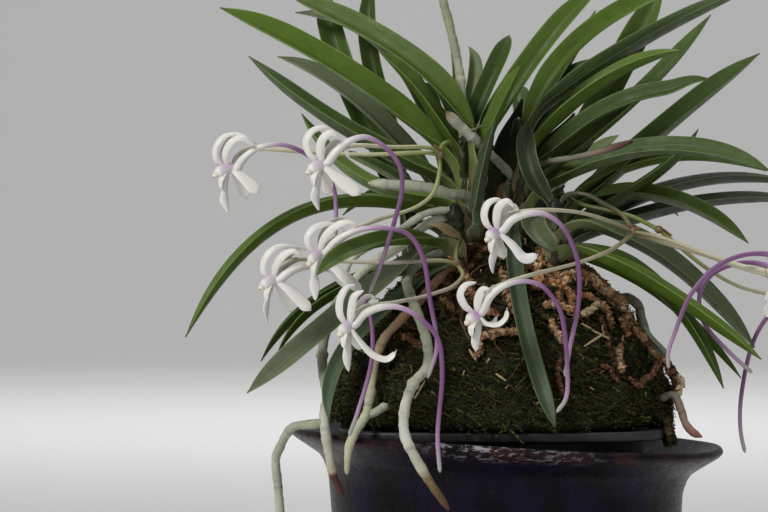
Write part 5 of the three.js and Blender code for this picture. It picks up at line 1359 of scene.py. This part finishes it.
def old_sheaths(shape, fan):
    """Dried leaf feet round the bottom of a stem."""
    foot, top = stem_of(fan)
    up = unit(top - foot)
    for k in range(5):
        turn = k * 2.3 + rng.uniform(0, 1)
        out = np.array([math.cos(turn), math.sin(turn), 0])
        start = foot + up * rng.uniform(5.5, 9)
        size = rng.uniform(5, 9)
        line = through([start + out * 1.6, start + up * size * 0.5 + out * 2.6,
                        start + up * size + out * rng.uniform(2.4, 3.8)], 16)
        s = np.linspace(0, 1, 16)
        wide = rng.uniform(3, 4.4) * (1 - 0.75 * smooth(s, 0.5, 1))
        tone = np.array([(0.17, 0.11, 0.06), (0.10, 0.06, 0.035), (0.24, 0.18, 0.11)][k % 3])
        side = np.array([out[1], -out[0], 0])
        strap(shape, line, side, rng.uniform(-0.3, 0.3), wide, wide * 0.35, 0.25, tone, 9, 0.3)


def fans():
    material = leaf_finish()
    for name, fan in FANS.items():
        shape = Shape()
        line = even(stem_of(fan), 40)
        s = np.linspace(0, 1, 40)
        # Painted shade: the stem's colours are darkened to near black from its middle up, where the leaves
        # shade it.
        stem_tone_and_shade = ramp(s, [(0, (0.07, 0.05, 0.03)), (0.5, (0.065, 0.048, 0.026)), (0.8, (0.022, 0.022, 0.010)),
                        (1, (0.014, 0.018, 0.007))])
        rough = 0.07 * np.sin(s * 60)[:, None] + 0.05 * rng.normal(size=(40, 16))
        blunt = np.sqrt(np.clip((1 - s) / 0.12 + 0.03, 0, 1))
        tube(shape, line, 2.5 * (1 - 0.25 * s) * blunt, 16, stem_tone_and_shade, rough=rough)
        old_sheaths(shape, fan)
        for k, (height, middle, tip, width, turn) in enumerate(fan["leaves"]):
            tone = LEAF_TONES.get(name, {}).get(k) or ("mid" if rng.random() < 0.6 else "dark")
            leaf(shape, fan, height, middle, tip, width, turn, tone, LEAF_FITS.get(name, {}).get(k, {}))
        for route, wide, tone in CURLED_SHEATHS.get(name, ()):
            line, s = through(route, 24), np.linspace(0, 1, 24)
            across = wide * (0.6 + 0.4 * np.sin(math.pi * s)) * np.sqrt(np.clip(1.04 - s, 0, 1))
            side = np.array([1.0, 0.0, 0.2])
            paint = ramp(s, [(0, tone), (1, np.array(tone) * 1.5)])
            strap(shape, line, side, 0.8 * s, across, across * 0.5, 0.2, paint, 9, 0.4)
        shape.build(name.replace("fan_", "leaves_"), material, "leaf", name)


# ---------------------------------------------------------------- aerial roots

VELAMEN, WHITE_ROOT, ROOT_TIP = (0.31, 0.33, 0.25), (0.47, 0.47, 0.41), (0.075, 0.022, 0.014)
CREAM, GREEN_ROOT, BARK = (0.42, 0.40, 0.28), (0.22, 0.25, 0.16), (0.20, 0.11, 0.06)
ROOT_COLOURS = {
    "root_upright": [(0, (0.36, 0.38, 0.31)), (0.3, (0.34, 0.36, 0.28)), (0.6, (0.27, 0.29, 0.20)),
        (1, (0.24, 0.26, 0.17))],
    "root_stub": [(0, VELAMEN), (0.5, (0.42, 0.43, 0.36)), (0.88, (0.36, 0.36, 0.28)),
        (0.94, (0.30, 0.22, 0.14)), (1, (0.10, 0.05, 0.03))],
    "root_tan": [(0, BARK), (0.3, (0.27, 0.16, 0.09)), (0.46, (0.33, 0.24, 0.15)), (0.6, CREAM),
        (0.82, (0.44, 0.46, 0.33)), (1, (0.40, 0.38, 0.28))],
    "root_dark": [(0, (0.14, 0.15, 0.11)), (0.45, (0.19, 0.19, 0.15)), (0.7, (0.20, 0.15, 0.11)),
        (0.88, (0.12, 0.050, 0.045)), (1, (0.045, 0.012, 0.015))],
    "root_front": [(0, (0.30, 0.33, 0.25)), (0.3, VELAMEN), (0.5, VELAMEN), (0.56, WHITE_ROOT),
        (0.8, WHITE_ROOT), (0.875, (0.40, 0.39, 0.31)), (0.90, (0.16, 0.12, 0.045)),
        (0.96, (0.11, 0.06, 0.025)), (1, ROOT_TIP)],
    # Painted light: root_thin and the first part of root_long_left are paled beyond the velamen's tone,
    # making up for the shadow the leaves cast on them.
    "root_thin": [(0, VELAMEN), (0.3, (0.52, 0.53, 0.44)), (1, (0.46, 0.48, 0.39))],
    "root_long_left": [(0, VELAMEN), (0.06, (0.60, 0.61, 0.52)), (0.3, (0.54, 0.55, 0.46)), (0.42, VELAMEN),
        (0.6, VELAMEN), (0.82, WHITE_ROOT), (0.915, (0.40, 0.37, 0.31)), (0.94, ROOT_TIP), (1, ROOT_TIP)],
    "root_right": [(0, (0.20, 0.23, 0.16)), (1, VELAMEN)],
    "root_right_low": [(0, (0.20, 0.20, 0.15)), (0.5, (0.30, 0.24, 0.19)), (0.75, (0.34, 0.20, 0.16)),
        (1, (0.28, 0.08, 0.07))],
}
# Heights of the raised rings where a root stopped and grew on.
ROOT_COLLARS = {"root_front": [102.4], "root_long_left": [83, 108], "root_upright": [170], "root_tan": [100]}
# The drawn girth of a root as a share of the CAD's.
ROOT_GIRTHS = {"root_front": 0.88, "root_upright": 0.9, "root_dark": 0.85}
# The drawn top of a root, with how many points of its route it stands in for.
ROOT_TOPS = {
    "root_stub": (2, [[-4.5, -7, 152.5], [-7.2, -11.5, 156.2]]),
    "root_front": (3, [[-12, -13.5, 131], [-17, -13, 130], [-21.5, -17, 127], [-22.8, -22, 124.2],
                       [-22.3, -27, 122]]),
}
# Thin roots that are drawn beside one.
SIDE_ROOTS = {"root_right": [[31.6, -3.6, 114], [33, -5, 111.6], [35.4, -5.4, 109], [37.4, -5, 106.6]]}


def root_part(shape, route, radius, stops, collars=()):
    """A root or a branch of one, with faint joints, raised collars and a rounded tip."""
    reach = length_of(through(route, 100))
    rows = int(reach * 3.2) + 8
    line = through(route, rows)
    s = np.linspace(0, 1, rows)
    mm = s * reach
    lumpy = 1 + 0.05 * np.sin(mm * 0.9 + rng.uniform(0, 6)) + 0.035 * np.sin(mm * 2.3 + rng.uniform(0, 6))
    joints = np.arange(rng.uniform(5, 12), reach - 3, rng.uniform(13, 19))
    rings = np.exp(-((mm[:, None] - joints) / 0.35) ** 2).sum(1)
    raised = np.exp(-((line[:, 2:] - np.array([*collars, -99.0])) / 0.55) ** 2).sum(1) * smooth(s, 0.05, 0.1)
    radii = radius * (1 - 0.35 * smooth(s, 0.85, 1)) * lumpy * (1 + 0.08 * rings + 0.2 * raised)
    radii = radii * (1 + 0.02 * np.sin(mm * 4.7 + 2 * np.sin(mm * 0.8)))
    radii = radii * np.sqrt(np.clip((reach - mm) / (1.4 * radius) + 0.06, 0, 1))
    radii = radii * np.sqrt(np.clip(mm / (0.6 * radius) + 0.2, 0, 1))
    shade = (1 - 0.3 * np.clip(rings, 0, 1))[:, None]
    paint = ramp(s, stops) * shade * (1 + 0.08 * np.sin(mm * 0.7))[:, None]
    paint = paint + (np.array(CREAM) - paint) * np.clip(raised, 0, 0.8)[:, None]
    tube(shape, line, radii, 18, paint, rough=0.02 * rng.normal(size=(rows, 18)))


def roots():
    material = root_finish()
    usual = [(0, GREEN_ROOT), (0.3, VELAMEN), (1, (0.38, 0.40, 0.32))]
    forked = [(0, VELAMEN), (0.5, (0.36, 0.38, 0.30)), (1, WHITE_ROOT)]
    for name, root in ROOTS.items():
        stops = ROOT_COLOURS.get(name, usual)
        shape = Shape()
        skip, top = ROOT_TOPS.get(name, (0, []))
        girth = root["radius"] * ROOT_GIRTHS.get(name, 1.0)
        root_part(shape, top + root["route"][skip:], girth, stops, ROOT_COLLARS.get(name, ()))
        if "branch" in root:
            root_part(shape, root["branch"], root["radius"] * 0.9, forked)
        if name in SIDE_ROOTS:
            root_part(shape, SIDE_ROOTS[name], 0.65, [(0, GREEN_ROOT), (1, VELAMEN)])
        shape.build("aerial_" + name, material, "root", name)


# ---------------------------------------------------------------- flowers

WHITE, LILAC = (0.64, 0.63, 0.60), (0.35, 0.225, 0.36)
PURPLE, GREY = (0.175, 0.068, 0.178), (0.32, 0.31, 0.29)
# How much lilac tints a bloom; the others take 0.5.
BLUSH = {
    "bloom_1": 0.6, "bloom_3": 0.65, "bloom_4": 0.45, "bloom_5": 0.55, "bloom_6": 0.85, "bloom_7": 1.0,
}
# The share of a spur's length where it turns from white to lilac; the others turn at 0.2.
SPUR_TURNS = {"bloom_1": 0.28, "bloom_7": 0.24, "bloom_8": 0.06, "bloom_9": 0.08, "bloom_10": 0.1}
# The way a tepal's width runs before it is rolled: away from the camera.
BACKWARDS = np.array([0.0, 1.0, 0.0])
# Widths along the parts of a bloom, as (place, share of the part's width).
PETAL = [(0, 0.5), (0.2, 0.88), (0.45, 1), (0.7, 0.85), (0.88, 0.55), (1, 0.25)]
SEPAL = [(0, 0.42), (0.3, 0.74), (0.62, 1), (0.86, 0.98), (1, 0.62)]
LABELLUM = [(0, 1.1), (0.2, 1.0), (0.4, 0.8), (0.66, 1.25), (0.8, 1.0), (0.92, 0.55), (1, 0.25)]
LOBE = [(0, 0.7), (0.45, 1), (0.8, 0.75), (1, 0.2)]
# A stalk's colour, and that of its pedicels' middle.
STALK_COLOURS = {
    "stalk_a": ((0.16, 0.21, 0.030), (0.42, 0.42, 0.22)),
    "stalk_b": ((0.17, 0.20, 0.045), (0.40, 0.33, 0.30)),
    "stalk_c": ((0.12, 0.11, 0.040), (0.36, 0.33, 0.22)),
    "stalk_d": ((0.16, 0.215, 0.030), (0.25, 0.24, 0.09)),
}


def head_of(bloom):
    """The way a bloom's column points and its parts, its own or mirrored from another bloom."""
    if "mirrors" not in bloom:
        return bloom["nose"], bloom["parts"]
    model = BLOOMS[bloom["mirrors"]]
    flip = lambda p: [-p[0], p[1], p[2]]
    return flip(model["nose"]), [[w, -roll, [flip(p) for p in route]] for w, roll, route in model["parts"]]


# The length of a pedicel's end that swells into the ovary and is drawn with the bloom.
OVARY = 7


def pedicel(route, bloom):
    """The pedicel's line up to the bloom, and its length."""
    nose, _ = head_of(bloom)
    end = np.array(bloom["centre"], float) - 0.2 * np.array(nose)
    line = through([*route, end.tolist()], 400)
    return line, length_of(line)


def tepal(shape, centre, width, roll, route, profile, base, tip, twist=0.15):
    """A sepal, petal or lobe along its route from the centre. It gives back its line."""
    line = through(np.array(route, float) + centre, 40)
    s = np.linspace(0, 1, 40)
    reach = length_of(line)
    fine = np.linspace(0, 1, 200)
    shares = np.interp(fine, *zip(*profile))
    shares = np.convolve(np.pad(shares, 14, mode="edge"), np.ones(29) / 29, "valid")
    wide = width * np.interp(s, fine, shares)
    corner = np.sqrt(np.clip((1 - s) * reach / (0.2 + 0.45 * wide[-1]) + 0.03, 0, 1))
    wide = wide * corner
    thick = 0.38 * (1.1 - 0.4 * s) * np.clip(corner, 0.3, 1)
    paint = ramp(s, [(0, base), (0.2, WHITE), (0.93, WHITE), (1, tip)])
    wide = wide * (1 + 0.05 * np.sin(s * rng.uniform(9, 15) + rng.uniform(0, 6)) * smooth(s, 0.3, 0.6))
    turn = math.radians(roll) + rng.uniform(-twist, twist) * smooth(s, 0.2, 1)
    keel = wide * rng.uniform(0.12, 0.22)
    strap(shape, line, BACKWARDS, turn, wide, keel, thick, paint, 9, 0.35)
    return line


def side_lobes(nose):
    """The lip's two side lobes, as parts of a bloom."""
    x, y, z = nose
    return [(1.7, 50 * k, [(0.25 * x, 0.25 * y + 0.5 * k, 0.25 * z - 0.3),
                           (0.5 * x, 0.5 * y + 1.2 * k, 0.5 * z - 2.1),
                           (0.5 * x, 0.5 * y + 1.0 * k, 0.5 * z - 3.9)]) for k in (1, -1)]


def flower(name, route, material):
    bloom = BLOOMS[name]
    centre = np.array(bloom["centre"], float)
    nose, parts = head_of(bloom)
    nose = np.array(nose, float)
    blush = BLUSH.get(name, 0.5)
    white = np.array(WHITE)
    pink = white * (1 - blush) + np.array((0.44, 0.24, 0.46)) * blush
    soft = white * (1 - 0.35 * blush) + np.array((0.50, 0.33, 0.50)) * 0.35 * blush
    shape = Shape()
    for k, (width, roll, points) in enumerate(parts):
        if k < 3:
            tepal(shape, centre, width, roll, points, PETAL, soft, WHITE)
        elif k == 5:
            tepal(shape, centre, width, roll, points, LABELLUM, soft, WHITE, 0.7)
        else:
            line = tepal(shape, centre, width, roll, points, SEPAL, soft, (0.64, 0.54, 0.60))
            ahead = unit(line[-1] - line[-4])
            end = line[-1] + ahead * 0.1
            hook = through([line[-3], end, end + (0, -0.15, 0.3)], 9)
            strap(shape, hook, BACKWARDS, 0.6, np.linspace(0.4, 0.15, 9), 0.1, 0.2, (0.56, 0.44, 0.52), 5)
    for width, roll, points in side_lobes(nose):
        tepal(shape, centre, width, roll, points, LOBE, soft, WHITE)
    column(shape, centre, nose, white, pink)
    spur(shape, name, bloom)
    ovary(shape, route, bloom)
    shape.build(name.replace("bloom", "flower"), material, "bloom", name)


def column(shape, centre, nose, white, pink):
    """The hooded column, blushed on top, with the anther cap and the hole below it."""
    line = even(np.array([centre - 0.25 * nose, centre + 0.92 * nose]), 26)
    s = np.linspace(0, 1, 26)
    bulb = 0.85 + 0.5 * np.sin(math.pi * np.clip(0.04 + s * 0.86, 0, 1))
    bulb = bulb * np.sqrt(np.clip((1 - s) * 4 + 0.04, 0, 1))
    one, other = carried(line)
    angle = around(20)
    rise = np.cos(angle)[None] * one[:, 2:] + np.sin(angle)[None] * other[:, 2:]
    share = (smooth(rise, -0.9, 0.6) * (1 - smooth(s, 0.42, 0.85))[:, None])[..., None]
    paint = white + (pink - white) * share
    under = smooth(-rise, 0.1, 0.9)[..., None] * smooth(s, 0.72, 0.92)[:, None, None]
    paint = paint + (np.array((0.62, 0.42, 0.24)) - paint) * under * 0.8
    tube(shape, line, bulb, 20, paint, rough=0.02 * np.sin(3 * angle)[None] * np.ones((26, 1)))
    way = unit(nose)
    one = unit(np.cross(way, [0, 0, 1]))
    other = np.cross(one, way)
    front = centre + nose * 0.86
    blob(shape, front - other * 0.25, (way * 0.7, one * 0.8, other * 0.62), (0.68, 0.61, 0.52))
    blob(shape, front + way * 0.42 - other * 0.55, (way * 0.36, one * 0.42, other * 0.3), (0.52, 0.31, 0.20))


def ribbed(count, sides, depth, turn=0.0):
    """Lumps for a tube with ribs along it."""
    return depth * np.sin(count * around(sides)[None] + turn)


def spur(shape, name, bloom):
    line = through([bloom["centre"], *bloom["spur"]], 120)
    s = np.linspace(0, 1, 120)
    reach = length_of(line)
    radii = 0.52 + 0.5 * (1 - smooth(s, 0, 0.3)) - 0.06 * smooth(s, 0.5, 1)
    radii = radii * np.sqrt(np.clip((1 - s) * reach / 0.9 + 0.08, 0, 1))
    turns = SPUR_TURNS.get(name, 0.2)
    stops = [(0, WHITE), (max(0.01, turns - 0.05), WHITE), (turns + 0.06, LILAC), (turns + 0.16, PURPLE),
             (0.72, PURPLE), (0.9, LILAC), (0.96, GREY), (1, GREY)]
    ribs = ribbed(4, 16, 0.05) * (1 - smooth(s, 0.1, 0.4))[:, None]
    tube(shape, line, radii, 16, ramp(s, stops), rough=ribs)


def ovary(shape, route, bloom):
    line, reach = pedicel(route, bloom)
    line = even(line[int(len(line) * (1 - OVARY / reach)):], 26)
    s = np.linspace(0, 1, 26)
    tones = ramp(s, [(0, (0.40, 0.40, 0.28)), (0.6, (0.50, 0.50, 0.42)), (1, WHITE)])
    tube(shape, line, 0.58 + 0.2 * np.sin(math.pi * s), 14, tones, rough=ribbed(3, 14, 0.10, s[:, None] * 5))


def stalk(name, item, material):
    """A stalk with its pedicels, a small bract under each, and the knot they grow from."""
    near, far = STALK_COLOURS[name]
    shape = Shape()
    line = through(item["main"], 60)
    s = np.linspace(0, 1, 60)
    shade = np.array(near) * 0.45
    tube(shape, line, 0.53 * (1.12 - 0.15 * s), 12, ramp(s, [(0, shade), (0.6, shade), (1, near)]))
    for bloom, route in item["pedicels"].items():
        line, reach = pedicel(route, BLOOMS[bloom])
        line = even(line[:int(len(line) * (1 - (OVARY - 0.1) / reach))], 70)
        s = np.linspace(0, 1, 70)
        paint = ramp(s, [(0, near), (0.35, far), (1, (0.48, 0.47, 0.36))])
        tube(shape, line, 0.45 + 0.03 * np.sin(s * 9), 12, paint)
        way = headings(line)[0]
        long = 1.2 if name == "stalk_d" else 0.6
        bract = through([line[0] - way, line[0] + way * 0.9 * long + [0, 0, 0.7],
                         line[0] + way * 3.2 * long + [0, 0, 1]], 10)
        brown = ramp(np.linspace(0, 1, 10), [(0, (0.10, 0.055, 0.03)), (1, (0.15 + 0.09 * long, 0.09, 0.05))])
        side = unit(np.cross(way, [0, 0, 1]))
        strap(shape, bract, side, 0.0, np.linspace(1.8, 0.25, 10), 0.5, 0.2, brown, 7)
    knot = np.array(item["main"][-1], float)
    blob(shape, knot, ((0, 0, 0.95), (1.0, 0, 0), (0, 1.0, 0)), (0.15, 0.10, 0.045))
    shape.build("flower_" + name, material, "stalk", name)


def flowers():
    petals, green = petal_finish(), stalk_finish()
    for name, item in STALKS.items():
        stalk(name, item, green)
        for bloom, route in item["pedicels"].items():
            flower(bloom, route, petals)


studio()
glazed_pot()
liner_pot()
moss_body()
moss_cover()
garland()
moss_ropes()
moss_litter()
fans()
roots()
flowers()
